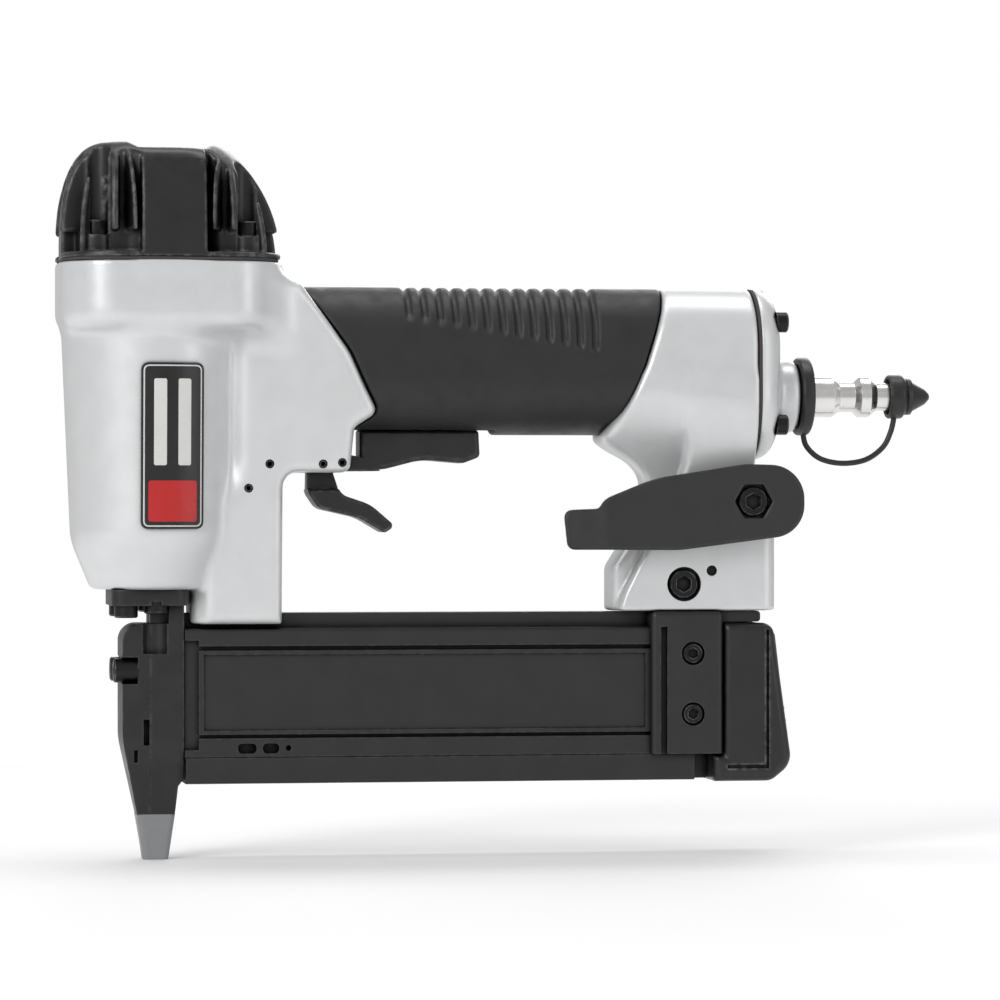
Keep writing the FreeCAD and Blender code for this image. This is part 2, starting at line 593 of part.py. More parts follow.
def nose_flange_screws():
    screws = []
    for x, y in flange_screw_places():
        seat = FLANGE_Z0 + (1.2 if x > 0 else 0)
        screws.append(cap_screw(Z_DIR, (x, y, seat), 1.8, 8.6 - (seat - FLANGE_Z0), 3.3, 3.4))
    return Part.makeCompound(screws)


def no_mar_tip():
    """Soft tip over the end of the nose, with a hole for the driver."""
    bottom = rounded_wire(box_corners(TIP_X - 3.6, TIP_X + 3.6, -3.4, 3.4, 1.6), lambda x, y: V(x, y, 0))
    middle = rounded_wire(box_corners(TIP_X - 4.3, TIP_X + 4.3, -4.1, 4.1, 1.8), lambda x, y: V(x, y, 5))
    top = rounded_wire(box_corners(TIP_X - 5.6, TIP_X + 5.4, -5.0, 5.0, 1.6),
                       lambda x, y: V(x, y, TIP_TOP_Z))
    tip = Part.makeLoft([bottom, middle, top], True, True)
    return tip.cut(block(-1.2, 1.2, -1.2, 1.2, -1, 20))


# ---- trigger group ------------------------------------------------------------------------
def trigger_valve_body():
    """Valve bush pressed into the handle; the stem runs in it."""
    body = rod(Z_DIR, (VALVE_X, 0, VALVE_Z0), VALVE_R, VALVE_Z1 - VALVE_Z0)
    body = body.cut(rod(Z_DIR, (VALVE_X, 0, 131), 3.9, 15.5))
    return body.cut(rod(Z_DIR, (VALVE_X, 0, 110), STEM_R + RUN * 2, 25))


def valve_stem():
    stem = rod(Z_DIR, (VALVE_X, 0, 121.05), STEM_R, 16)
    return join(stem, rod(Z_DIR, (VALVE_X, 0, 131.2), 3.6, 2.2))


def valve_spring():
    return coil(2.9, 0.35, (VALVE_X, 0, 133.5), Z_DIR, 12.8, 6)


def trigger():
    """Main trigger: a shoe under the grip, on two arms that turn on the trigger pin."""
    px, pz = TRIGGER_PIVOT
    shoe = plate_y([(58.4, 120.9, 0.8), (92.4, 120.9, 1.2), (92.8, 113.2, 1.5), (88.0, 111.4, 3),
                    (76.0, 112.4, 20), (66.0, 109.8, 8), (58.4, 109.0, 1.0)], -5.5, 5.5)
    shoe = soften(shoe, 1.4, lambda e: (at_y(-5.5)(e) or at_y(5.5)(e)) and e.CenterOfMass.z < 115)
    arms = plate_y([(px - 2.6, pz + 2.2, 2), (px - 2.6, pz - 2.4, 2), (64, pz - 2.3, 0), (64, pz + 0.5, 0),
                    (px + 2.6, pz + 2.4, 2)], -5.5, 5.5)
    lever = join(shoe, arms)
    lever = lever.cut(block(40, 57.8, -3.1, 3.1, 100, 125))
    return lever.cut(rod(Y_DIR, (px, -10, pz), PIN_R + RUN, 20))


def safety_lever():
    """Small lever in front of the trigger, which has to be squeezed first."""
    px, pz = SAFETY_PIVOT
    outline = [(px - 3.0, pz + 2.6, 2.4), (43.6, 103.0, 4), (46.6, 98.6, 4), (58.0, 96.0, 14),
               (65.4, 91.6, 1.4), (68.6, 93.6, 1.4), (61.4, 99.8, 12), (53.0, 102.6, 4),
               (px + 2.6, pz + 2.6, 2.4)]
    shank = plate_y(outline, -2.8, 2.8)
    pad = plate_y(outline, -5.6, 5.6).common(block(30, 90, -10, 10, 80, 104.0))
    pad = soften(pad, 1.2, lambda e: at_y(-5.6)(e) or at_y(5.6)(e))
    return join(shank, pad).cut(rod(Y_DIR, (px, -10, pz), PIN_R + RUN, 20))


def safety_spring():
    px, pz = SAFETY_PIVOT
    return coil(PIN_R + 0.6, 0.35, (px, 3.0, pz), Y_DIR, 2.7, 2.5)


def cross_pin(place):
    """A rolled spring pin across the wing, hollow at both ends and just below its sides."""
    x, z = place
    half = wing_half(z) - 0.3
    pin = rod(Y_DIR, (x, -half, z), PIN_R, 2 * half)
    for y in (-half, half - 2.0):
        pin = pin.cut(rod(Y_DIR, (x, y, z), 0.7, 2.0))
    return pin


def trigger_pin():
    return cross_pin(TRIGGER_PIVOT)


def safety_pin():
    return cross_pin(SAFETY_PIVOT)


def guide_pins():
    return Part.makeCompound([cross_pin(place) for place in GUIDE_PINS])


# ---- magazine -----------------------------------------------------------------------------
def magazine_track():
    """Fixed upper channel of the magazine, with a rib along its top and a panel on each side."""
    track = block(TRACK_X0, TRACK_X1, -TRACK_HALF, TRACK_HALF, RAIL_Z1, TRACK_Z1)
    track = soften(track, 1.2, lambda e: e.BoundBox.XLength > 50 and at_z(TRACK_Z1)(e))
    track = track.cut(block(0, 200, -CAVITY_HALF, CAVITY_HALF, 20, 62.0))
    track = join(track, block(TRACK_X0, MOUNT_X0, -LUG_HALF, LUG_HALF, TRACK_Z1 - 1, SPINE_Z1))
    cuts = [
        both_sides(1.6, TRACK_HALF, lambda a, b: block(TRACK_X0 - 1, 12.4, a, b, 31.0, 61.6)),
        both_sides(1.5, TRACK_HALF, lambda a, b: block(12.4, MOUNT_X0 + 1, a, b, 58.8, 60.0)),
        both_sides(1.5, TRACK_HALF, lambda a, b: block(12.4, MOUNT_X0 + 1, a, b, 34.2, 35.2)),
        both_sides(0.7, TRACK_HALF, lambda a, b: block(13.8, MOUNT_X0 - 1.4, a, b, 36.4, 57.6)),
        both_sides(5.0, TRACK_HALF, lambda a, b: rod(Y_DIR, (37.6, a, 31.4), 0.8, b - a)),
    ]
    for x0, x1 in ((23.4, 28.6), (30.4, 35.0)):
        window = box_corners(x0, x1, 29.9, 32.7, 1.2)
        cuts.append(both_sides(5.0, TRACK_HALF, lambda a, b, window=window: plate_y(window, a, b)))
    cuts += [rod(Y_DIR, (SIDE_SCREW_X, -20, z), DOWEL_R, 40) for z in SIDE_SCREW_Z]
    return track.cut(Part.makeCompound(cuts))


def magazine_mount():
    """Block that clamps the tail of the track and hangs it from the foot."""
    clamp = block(MOUNT_X0, TRACK_X1, -MOUNT_HALF, MOUNT_HALF, RAIL_Z1, MOUNT_Z1)
    clamp = soften(clamp, 1.5, lambda e: e.BoundBox.ZLength > 30 or abs(e.CenterOfMass.z - MOUNT_Z1) < 0.01)
    shelf = plate_y([(MOUNT_X0 + 4, 66.3), (173.0, 66.3, 1.0), (173.0, MOUNT_Z1, 1.0),
                     (MOUNT_X0 + 4, MOUNT_Z1)], -9.5, 9.5)
    lug = plate_y([(143.0, 66), (159.6, 66), (161.9, 84.6, 4), (143.0, 84.6, 4)], -LUG_HALF, LUG_HALF)
    cuts = [
        block(130, TRACK_X1 + 1, -TRACK_HALF, TRACK_HALF, 20, TRACK_Z1),
        rod(Y_DIR, (BRACKET_SCREW[0], -30, BRACKET_SCREW[1]), M5_R, 60),
        rod(Y_DIR, (BRACKET_DOWEL[0], -30, BRACKET_DOWEL[1]), DOWEL_R, 60),
        both_sides(1.6, MOUNT_HALF, lambda a, b: block(143.6, 145.4, a, b, 20, TRACK_Z1)),
    ]
    for z in SIDE_SCREW_Z:
        cuts.append(rod(Y_DIR, (SIDE_SCREW_X, -20, z), DOWEL_R, 40))
        cuts.append(both_sides(SIDE_SEAT, MOUNT_HALF,
                               lambda a, b, z=z: rod(Y_DIR, (SIDE_SCREW_X, a, z), 3.3, b - a)))
    return join(clamp, shelf, lug).cut(Part.makeCompound(cuts))


def magazine_screws():
    """Four short screws, two a side, through the mount into the track."""
    seat = MOUNT_HALF - SIDE_SEAT
    screws = []
    for z in SIDE_SCREW_Z:
        for side in (-1, 1):
            screws.append(cap_screw(Y_DIR * -side, (SIDE_SCREW_X, side * seat, z), DOWEL_R, 2.8, 2.9, 1.9))
    return Part.makeCompound(screws)


def bracket_screw():
    x, z = BRACKET_SCREW
    return cap_screw(Y_DIR, (x, -FOOT_HALF + 3.4, z), M5_R, 2 * FOOT_HALF - 3.6, 4.3, 3.0)


def bracket_nut():
    x, z = BRACKET_SCREW
    nut = hexagon(Y_DIR, (x, FOOT_HALF - 3.4, z), 7.9, 3.2)
    return nut.cut(rod(Y_DIR, (x, 0, z), M5_R, 20))


def bracket_dowel():
    x, z = BRACKET_DOWEL
    return rod(Y_DIR, (x, -FOOT_HALF + 0.8, z), DOWEL_R, 2 * FOOT_HALF - 1.6)


def magazine_drawer():
    """Sliding part of the magazine: bottom rail and the web that holds the strip of pins."""
    rail = block(DRAWER_X0, DRAWER_X1, -TRACK_HALF, TRACK_HALF, RAIL_Z0, RAIL_Z1 - 0.15)
    rail = soften(rail, 1.0, lambda e: e.BoundBox.XLength > 50 and abs(e.CenterOfMass.z - RAIL_Z0) < 0.01)
    web_half = CAVITY_HALF - 0.15
    web = block(DRAWER_X0, WEB_X1, -web_half, web_half, WEB_Z0, 61.8)
    keel = block(DRAWER_X1 - 1, 158.8, -1.5, 1.5, RAIL_Z0, RAIL_Z1)
    screw_x, screw_y, screw_z = TAIL_SCREW
    cuts = [
        block(0, WEB_X1 - 7, -PIN_SLOT / 2, PIN_SLOT / 2, PIN_Z0, 70),
        block(9.8, PUSHER_X1, 0, 6.4, 33.0, 45.0),
        block(12, 150, -6.2, -1.8, 36.0, 70),
        block(12, 150, 1.8, 6.2, 48.0, 70),
        both_sides(TRACK_HALF - 1.5, TRACK_HALF, lambda a, b: block(DRAWER_X1, 158.8, a, b, 20, RAIL_Z1)),
        rod(X_DIR, (WEB_X1 - 10, screw_y, screw_z), DOWEL_R, 20),
        rod(X_DIR, (WEB_X1 - 10, -screw_y, screw_z), DOWEL_R, 20),
    ]
    return join(rail, web, keel).cut(Part.makeCompound(cuts))


def tail_cap():
    """Moulded end of the drawer, which the hand pulls to load pins."""
    cap = plate_y(TAIL_OUTLINE, -TAIL_HALF, TAIL_HALF)
    cap = soften(cap, 2.4, lambda e: (at_y(-TAIL_HALF)(e) or at_y(TAIL_HALF)(e)) and e.CenterOfMass.x > 166)
    web_half = CAVITY_HALF - 0.15
    screw_x, screw_y, screw_z = TAIL_SCREW
    cuts = [
        block(150, WEB_X1, -web_half, web_half, WEB_Z0, 61.8),
        plate_y([(LATCH_X0, 70), (LATCH_X0, 24.4), (190, 24.4), (190, 70)], -8.4, 8.4),
        rod(Y_DIR, (LATCH_PIVOT[0], -LATCH_PIN_HALF, LATCH_PIVOT[1]), PIN_R, 40),
        both_sides(1.0, TAIL_HALF, lambda a, b: block(174.2, 175.0, a, b, 24.6, 64.0)),
        both_sides(1.0, TAIL_HALF, lambda a, b: block(162.9, 174.2, a, b, 24.6, 25.6)),
    ]
    for y in (-screw_y, screw_y):
        cuts.append(rod(X_DIR, (150, y, screw_z), DOWEL_R, 40))
        cuts.append(rod(X_DIR, (screw_x, y, screw_z), 2.9, 20))
    return cap.cut(Part.makeCompound(cuts))


def tail_screws():
    x, y, z = TAIL_SCREW
    return Part.makeCompound([cap_screw(-X_DIR, (x, side * y, z), DOWEL_R, 12.4, 2.7, 2.4)
                              for side in (-1, 1)])


def latch_pin():
    """Cross pin of the latch, pressed in from the right; its left end sits in a blind hole."""
    x, z = LATCH_PIVOT
    return rod(Y_DIR, (x, -LATCH_PIN_HALF, z), PIN_R, LATCH_PIN_HALF + TAIL_HALF - 0.2)


def latch_lever():
    """Lever in the back of the tail cap; squeezing its foot frees the drawer."""
    x, z = LATCH_PIVOT
    lever = plate_y([(x - 1.8, z + 3.2, 1.6), (x + 2.2, z + 3.2, 1.8), (x + 6.5, 27.6, 2.0),
                     (x + 2.8, 25.0, 1.5), (x - 0.6, 54.0, 3), (x - 1.8, 57.0, 1)], -8.2, 8.2)
    ridges = [rod(Y_DIR, (x + 6.2 - 0.13 * (h - 28), -8.2, h), 0.7, 16.4) for h in (31.0, 34.5, 38.0, 41.5)]
    lever = join(lever, *ridges)
    return lever.cut(rod(Y_DIR, (x, -20, z), PIN_R + RUN, 40))


def latch_spring():
    return coil(2.2, 0.4, (LATCH_X0 + 0.05, 0, 33.5), X_DIR, 3.9, 2.5)


def pusher():
    """Blade and carriage that press the strip of pins towards the nose."""
    blade = block(10.2, 24.0, -0.38, 0.38, PIN_Z0 + 0.2, PIN_Z1 - 0.4)
    carriage = block(10.2, 20.0, 0.0, 6.2, 33.2, 44.8)
    return join(blade, carriage)


def pusher_spring():
    return coil(2.4, 0.4, (SPRING_X0, 3.5, 39.0), X_DIR, PUSHER_X1 - SPRING_X0 - 0.1, 30)


# ---- air inlet end ------------------------------------------------------------------------
def end_cap():
    """Rear cover of the handle: carries the air inlet and the exhaust slots."""
    corners = box_corners(-HOUSING_HALF, HOUSING_HALF, HOUSING_Z0, HOUSING_Z1, HOUSING_CORNER)
    cover = plate_x(corners, HOUSING_X1 + GASKET, END_X1)
    cover = soften(cover, 5.0, at_x(END_X1))
    boss = soften(rod(X_DIR, (172, 0, PLUG_Z), BOSS_R, BOSS_X1 - 172), 1.5, at_x(BOSS_X1))
    cuts = [
        rod(X_DIR, (160, 0, PLUG_Z), BUSH_R, 40),
        muffler_space(9.0, END_X1 - 2.0),
    ]
    for y in EXHAUST_SLOTS:
        cuts.append(plate_x(box_corners(y - 1.1, y + 1.1, 146.8, 156.2, 1.0), 165, 190))
    for y, z in end_screw_places():
        cuts.append(rod(X_DIR, (160, y, z), 1.8, 30))
        cuts.append(rod(X_DIR, (END_SEAT_X, y, z), 3.1, 10))
    return join(cover, boss).cut(Part.makeCompound(cuts))


def muffler_space(half, x1):
    """The upper part of a disc behind the exhaust slots."""
    disc = rod(X_DIR, (HOUSING_X1 + GASKET, 0, EXHAUST_Z - 2.6), half, x1 - HOUSING_X1 - GASKET)
    return disc.common(block(0, 200, -half, half, 155.5 - half, 170))


def exhaust_muffler():
    """Felt pad behind the exhaust slots."""
    return muffler_space(8.8, END_X1 - 3.0)


def end_gasket():
    inset = 0.4
    half = HOUSING_HALF - inset
    corners = box_corners(-half, half, HOUSING_Z0 + inset, HOUSING_Z1 - inset, HOUSING_CORNER - inset)
    sheet = plate_x(corners, HOUSING_X1, HOUSING_X1 + GASKET)
    cuts = [
        rod(X_DIR, (160, 0, RESERVOIR_Z), RESERVOIR_R, 30),
        rod(X_DIR, (160, 0, EXHAUST_Z), EXHAUST_R, 30),
        rod(X_DIR, (160, 0, PLUG_Z), BUSH_R, 30),
    ]
    cuts += [rod(X_DIR, (160, y, z), 1.8, 30) for y, z in end_screw_places()]
    return sheet.cut(Part.makeCompound(cuts))


def end_cap_screws():
    return Part.makeCompound([cap_screw(-X_DIR, (END_SEAT_X, y, z), 1.6, 12.5, 2.9, 3.4)
                              for y, z in end_screw_places()])


def inlet_bushing():
    """Threaded bush in the end cap that takes the air plug."""
    x0 = HOUSING_X1 + 0.1
    bush = rod(X_DIR, (x0, 0, PLUG_Z), BUSH_R, BOSS_X1 - x0)
    return bush.cut(rod(X_DIR, (150, 0, PLUG_Z), THREAD_R, 60))


def air_plug():
    """Quarter-inch industrial plug: thread, hexagon, collar, locking groove and nose."""
    thread = rod(X_DIR, (END_X1 - 5.0, 0, PLUG_Z), THREAD_R, BOSS_X1 - END_X1 + 6.0)
    nut = hexagon(X_DIR, (BOSS_X1 + 0.2, 0, PLUG_Z), 12.6, RING_X1 - BOSS_X1 - 0.2)
    body = turned([(0, 0), (COLLAR_R, 0), (COLLAR_R, 6.6), (4.4, 8.6), (4.4, 13.0), (COLLAR_R, 14.6),
                   (COLLAR_R, 17.4), (4.0, 19.6), (4.0, 26.6), (3.4, 27.8), (0, 27.8)],
                  (RING_X1, 0, PLUG_Z), X_DIR)
    return join(thread, nut, body).cut(rod(X_DIR, (150, 0, PLUG_Z), 2.6, 100))


def tether_tube(points):
    """A round strap along a smooth curve in the XZ plane."""
    curve = Part.BSplineCurve()
    curve.interpolate([V(x, 0, z) for x, z in points])
    start = curve.value(curve.FirstParameter)
    section = Part.Wire([Part.makeCircle(TETHER_R, start, curve.tangent(curve.FirstParameter)[0])])
    return Part.Wire([curve.toShape()]).makePipeShell([section], True, True)


def cap_tether():
    """Ring around the plug's hexagon and the first half of the strap that keeps the dust cap."""
    band = rod(X_DIR, (BOSS_X1 + 0.1, 0, PLUG_Z), 11.2, RING_X1 - BOSS_X1 - 0.1)
    band = soften(band, 0.8, lambda e: e.Closed).cut(rod(X_DIR, (180, 0, PLUG_Z), 7.4, 20))
    hx, hz = TETHER_HINGE
    strap = tether_tube([(187.2, PLUG_Z - 10.4), (189.8, 115.4), (196.0, 111.8), (203.2, 111.6),
                         (hx - 1.2, hz - 1.0)])
    return join(band, strap)


def dust_cap():
    """Soft cap over the end of the plug, with the second half of its strap."""
    profile = [(0, 12.6), (2.2, 11.0), (4.6, 6.6), (6.2, 4.2), (6.3, 0), (5.2, 0), (5.2, 6.8), (0, 6.8)]
    shell = turned(profile, (DUST_X0, 0, PLUG_Z), X_DIR)
    hx, hz = TETHER_HINGE
    strap = tether_tube([(hx + 1.1, hz + 1.1), (213.8, 119.6), (214.8, PLUG_Z - 5.8)])
    return join(shell, strap)


# ---- belt hook ----------------------------------------------------------------------------
def belt_hook():
    """Flat steel hook that turns on its screw; its end flares away from the tool."""
    x, z = HOOK_PIVOT
    y0 = HOOK_Y - HOOK_T
    outline = [(184.0, 110.8, 9.8), (167.0, 111.2, 20), (141.0, 107.2, 40), (126.5, 101.4, 6),
               (124.8, 98.6, 2), (114.0, 98.2, 2.2), (115.2, 87.0, 2.2), (148.0, 86.8, 30),
               (184.0, 91.4, 9.3)]
    arm = plate_y(outline, y0 - 8, HOOK_Y)
    # the plate as seen from above: flat, with its end flared outwards
    bend, flare = 127.0, 5.0
    section = rounded_wire([(190, HOOK_Y), (bend, HOOK_Y, 6), (108, HOOK_Y - flare), (108, y0 - flare),
                            (bend, y0, 6), (190, y0)], lambda u, v: V(u, v, 70))
    arm = Part.Face(section).extrude(V(0, 0, 60)).common(arm)
    return arm.cut(hexagon(Y_DIR, (x, y0 - 1, z), 9.0, HOOK_T + 2))


def hook_screw():
    """Screw that clamps the hook; its head sits inside the hook's hexagonal hole."""
    x, z = HOOK_PIVOT
    return cap_screw(Y_DIR, (x, HOOK_Y, z), M5_R, HOOK_THREAD - 0.4, 4.4, 2.2)


NODES = [
    body_casting, name_badge, grip_sleeve, head_cap, cap_gasket, cap_screws,
    cylinder_sleeve, cylinder_oring, bumper, piston, piston_oring, driver_blade,
    head_valve, head_valve_oring, head_valve_spring,
    nose_body, nose_front_plate, nose_plate_screws, nose_flange_screws, no_mar_tip,
    trigger_valve_body, valve_stem, valve_spring, trigger, safety_lever, safety_spring,
    trigger_pin, safety_pin, guide_pins,
    magazine_track, magazine_mount, magazine_screws, bracket_screw, bracket_nut, bracket_dowel,
    magazine_drawer, tail_cap, tail_screws, latch_pin, latch_lever, latch_spring,
    pusher, pusher_spring,
    end_cap, exhaust_muffler, end_gasket, end_cap_screws, inlet_bushing,
    air_plug, cap_tether, dust_cap, belt_hook, hook_screw,
]

os.makedirs("parts", exist_ok=True)
for make in NODES:
    shape = make()
    note = "" if shape.isValid() and shape.Solids else "not a valid solid"
    print(f"{make.__name__:22s} solids {len(shape.Solids):2d} volume {shape.Volume:10.1f} {note}")
    shape.exportStep(f"parts/{make.__name__}.step")
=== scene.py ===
"""Looks for the pneumatic pin nailer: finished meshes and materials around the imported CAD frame.

Lengths in this script are millimetres until a mesh is made, and the frame is the CAD's own: the driver
axis is Z, z = 0 is the end of the nose, and +X points back along the handle and the magazine.
"""
import json
import math

import bmesh
import bpy
import numpy as np
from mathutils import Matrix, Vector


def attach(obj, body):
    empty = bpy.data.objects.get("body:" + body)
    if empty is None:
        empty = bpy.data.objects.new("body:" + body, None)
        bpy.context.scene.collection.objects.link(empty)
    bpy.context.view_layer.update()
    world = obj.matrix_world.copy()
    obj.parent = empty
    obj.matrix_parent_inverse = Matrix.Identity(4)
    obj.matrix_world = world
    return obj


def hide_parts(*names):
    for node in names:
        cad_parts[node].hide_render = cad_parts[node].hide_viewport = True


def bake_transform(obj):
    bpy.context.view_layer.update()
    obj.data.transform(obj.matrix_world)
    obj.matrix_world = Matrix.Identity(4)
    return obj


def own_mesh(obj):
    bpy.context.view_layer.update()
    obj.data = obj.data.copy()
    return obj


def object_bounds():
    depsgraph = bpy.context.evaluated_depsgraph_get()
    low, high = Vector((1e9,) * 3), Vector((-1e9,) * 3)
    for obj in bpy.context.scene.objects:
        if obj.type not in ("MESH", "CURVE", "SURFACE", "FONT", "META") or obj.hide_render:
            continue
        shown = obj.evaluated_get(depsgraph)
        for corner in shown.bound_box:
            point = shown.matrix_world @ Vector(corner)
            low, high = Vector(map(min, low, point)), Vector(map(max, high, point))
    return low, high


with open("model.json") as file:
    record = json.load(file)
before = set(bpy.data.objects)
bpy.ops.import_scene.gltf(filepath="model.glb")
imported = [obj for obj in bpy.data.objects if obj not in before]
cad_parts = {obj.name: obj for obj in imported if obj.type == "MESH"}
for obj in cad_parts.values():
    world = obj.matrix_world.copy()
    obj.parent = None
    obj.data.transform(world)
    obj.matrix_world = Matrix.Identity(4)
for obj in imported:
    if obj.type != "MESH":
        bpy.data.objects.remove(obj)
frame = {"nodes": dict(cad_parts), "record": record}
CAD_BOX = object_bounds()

import openvdb as vdb
from mathutils import Matrix, Vector

MM = 0.001
NODES = frame["nodes"]

# ---- dimensions shared with the CAD ---------------------------------------------------------
# barrel: its underside, the top of its cone, the collar's underside and the deck under the head cap
BODY_Z0, CONE_Z1, COLLAR_Z0, DECK_Z = 76.0, 89.7, 148.0, 167.4
CONE_R, BARREL_R0, BARREL_R1 = 17.2, 22.9, 25.6
BARREL_Z1 = COLLAR_Z0 + 4    # the barrel has its largest radius here, inside the collar
BORE_R, FLOOR_Z, CHAMBER_Z1 = 20.2, 84.0, 191.0
BLADE_HOLE_R = 3.0

# collar and head cap
GASKET = 0.8
CAP_X0, CAP_X1, CAP_HALF, CAP_CHAMFER, CAP_Z1 = -26.4, 35.0, 27.5, 9.5, 202.0
CAP_MIDDLE = (CAP_X0 + CAP_X1) / 2
CAP_SCREW_OFFSET, CAP_SCREW_SEAT = (21.0, 17.6), 174.5

# wing and leg: half widths at the leg's foot and at the wing's top
LEG_HALF, WING_HALF, LEG_Z0, WING_Z1 = 12.6, 18.4, 66.2, 161.4
LEG_X0, LEG_X1 = 10.2, 35.7
SPINE_Z1, LUG_HALF = 69.2, 4.1   # the slots around the magazine's rib and lug

# handle: its rubber, and the air reservoir and the exhaust passage along it
GRIP_Z0, GRIP_Z1, GRIP_HALF, RUBBER = 119.5, 161.3, 16.6, 2.6
GRIP_MIDDLE, GRIP_HALF_Z = (GRIP_Z0 + GRIP_Z1) / 2, (GRIP_Z1 - GRIP_Z0) / 2
CORE_X0, CORE_X1, CORE_CORNER = 21, 149, 13.5
RIB_X0, RIB_PITCH, RIB_COUNT = 71.3, 4.4, 13
RESERVOIR_Z, RESERVOIR_R = 141.0, 10.8
EXHAUST_Z, EXHAUST_R = 154.9, 2.3

# levers, their cross pins and the trigger valve
VALVE_X, VALVE_R, POCKET_Z1, VALVE_Z1 = 66.0, 6.2, 127.4, 149.0
CROSS_PINS = ((52.2, 111.5), (46.8, 111.1), (31.8, 111.1), (25.9, 104.3))
PIN_R = 1.25
LEVER_HALF = 6.0

# rear housing, its foot and the foot's thinner toe
HOUSING_X1, FOOT_HALF, TOE_HALF = 170.9, 11.5, 7.0
FOOT_X1, FOOT_Z0 = 177.5, 69.5
COLUMN_Z1 = 128.0
TOE_FOOT, TOE_NORMAL = (130.8, 69.4), (-0.894, 0.447)
BRACKET_SCREW, BRACKET_DOWEL = (150.5, 77.1), (158.5, 80.9)
M5_R, DOWEL_R = 2.5, 1.5

# belt hook
HOOK_PIVOT = (169.2, 100.6)
HOOK_Y, HOOK_T = -16.0, 3.0
HOOK_BOSS_R, HOOK_HEX = 7.6, 4.7
HOOK_FLARE_X, HOOK_FLARE_LENGTH, HOOK_FLARE = 128.0, 14.0, 4.0

# end cap and air inlet
END_X0, END_X1, BOSS_X1, BOSS_R = 171.7, 178.2, 185.2, 10.4
END_SCREW_Y, END_SCREW_Z, END_SCREW_OFFSET = 12.4, 137.05, 14.6
END_SEAT_X = END_X1 - 1.4
MUFFLER_Z = 152.3
PLUG_Z, BUSH_R, DUST_X0 = 130.8, 8.0, 212.4

# outlines of (x, z) or (x, z, corner radius)
WING_OUTLINE = [
    (0, WING_Z1), (40.5, WING_Z1, 1.5), (54.4, 142.8, 20), (62.4, 125.6, 2.6), (55.8, 121.4, 2.0),
    (54.6, 108.7, 2.5), (LEG_X1, 108.7, 4.0), (LEG_X1, LEG_Z0), (LEG_X0, LEG_Z0), (LEG_X0, 92.0), (0, 92.0),
]
HOUSING_OUTLINE = [
    (146.0, 165.0), (HOUSING_X1, 165.0), (HOUSING_X1, 108.0, 4), (FOOT_X1, 98.0, 6), (FOOT_X1, FOOT_Z0 - 9),
    (130.0, FOOT_Z0 - 9), (130.0, 82.0, 4), (140.2, 98.0, 10), (139.8, 110.0, 12), (130.3, 119.0),
    (138.6, 138.7, 30), (143.4, 154.0, 20),
]
HOOK_OUTLINE = [
    (184.0, 110.8, 9.8), (167.0, 111.2, 20), (141.0, 107.2, 40), (126.5, 101.4, 6), (124.8, 98.6, 2),
    (114.0, 98.2, 2.2), (115.2, 87.0, 2.2), (148.0, 86.8, 30), (184.0, 91.4, 9.3),
]
# x, half width, lowest z, highest z and corner radius of the housing's section
HOUSING_STATIONS = (
    (125.0, 17.5, 118.6, 161.8, 16.0),
    (148.0, 18.2, 116.0, 161.8, 17.0),
    (HOUSING_X1, 19.0, 112.3, 161.8, 18.0),
)

# each corner of the head cap: its crown, and how far before the crown the pocket starts and how low
CROWN, CROWN_R, CAP_PANEL, CAP_POCKET_Z0 = (15.3, 12.5), 8.5, 6.2, 169.8
# bearing in degrees, width and lowest z of each rib that fans out from a crown
CAP_RIBS = (
    (-17, 1.3, 175.6), (5, 1.9, 175.6), (45, 1.5, CAP_POCKET_Z0), (85, 1.9, 175.6), (107, 1.3, 175.6),
)
# the faces between the corners, below the brow, are set back
PANEL_HALF_X, PANEL_HALF_Y, PANEL_INSET, BROW_Z = 10.5, 7.5, 0.55, 195.4

# valley down the wing beside the barrel, which fades out between each pair of levels
VALLEY_X, VALLEY_WIDTH, VALLEY_DEPTH = 20.5, 3.4, 2.6
VALLEY_BOTTOM, VALLEY_TOP = (98, 114), (142, 152)
LEG_BEVEL = 5.0

# ---- grids and facets -----------------------------------------------------------------------
CASTING_STEP, COVER_STEP, HOOK_STEP = 0.55, 0.4, 0.35
ARC_STEP = 0.8               # length of a facet on an outline's round corner

# ---- camera ---------------------------------------------------------------------------------
VIEW_TURN, VIEW_DISTANCE, VIEW_WIDTH = -9, 1.3, 0.285   # degrees and metres


# ---- signed distances on a grid of points ---------------------------------------------------
def soft_min(a, b, k):
    blend = np.maximum(k - np.abs(a - b), 0) / k
    return np.minimum(a, b) - blend * blend * k / 4


def soft_max(a, b, k):
    return -soft_min(-a, -b, k)


def soft_cut(field, tool, k=0.5):
    return soft_max(field, -tool, k)


def round_rect(u, v, half_u, half_v, corner):
    """Distance to a rectangle with round corners, centred on the origin."""
    du = np.abs(u) - half_u + corner
    dv = np.abs(v) - half_v + corner
    return np.hypot(np.maximum(du, 0), np.maximum(dv, 0)) + np.minimum(np.maximum(du, dv), 0) - corner


def smooth_step(t):
    return t * t * (3 - 2 * t)


def rounded(corners):
    """The points of an outline whose corners are (u, v) or (u, v, radius)."""
    points = []
    for i, corner in enumerate(corners):
        here = Vector(corner[:2])
        if len(corner) < 3:
            points.append(here)
            continue
        back = (Vector(corners[i - 1][:2]) - here).normalized()
        on = (Vector(corners[(i + 1) % len(corners)][:2]) - here).normalized()
        half = back.angle(on) / 2
        middle = here + (back + on).normalized() * (corner[2] / math.sin(half))
        start = here + back * (corner[2] / math.tan(half)) - middle
        turn = start.angle_signed(here + on * (corner[2] / math.tan(half)) - middle)
        steps = max(3, int(abs(turn) * corner[2] / ARC_STEP))
        for k in range(steps + 1):
            points.append(middle + Matrix.Rotation(-turn * k / steps, 2) @ start)
    return [(p.x, p.y) for p in points]


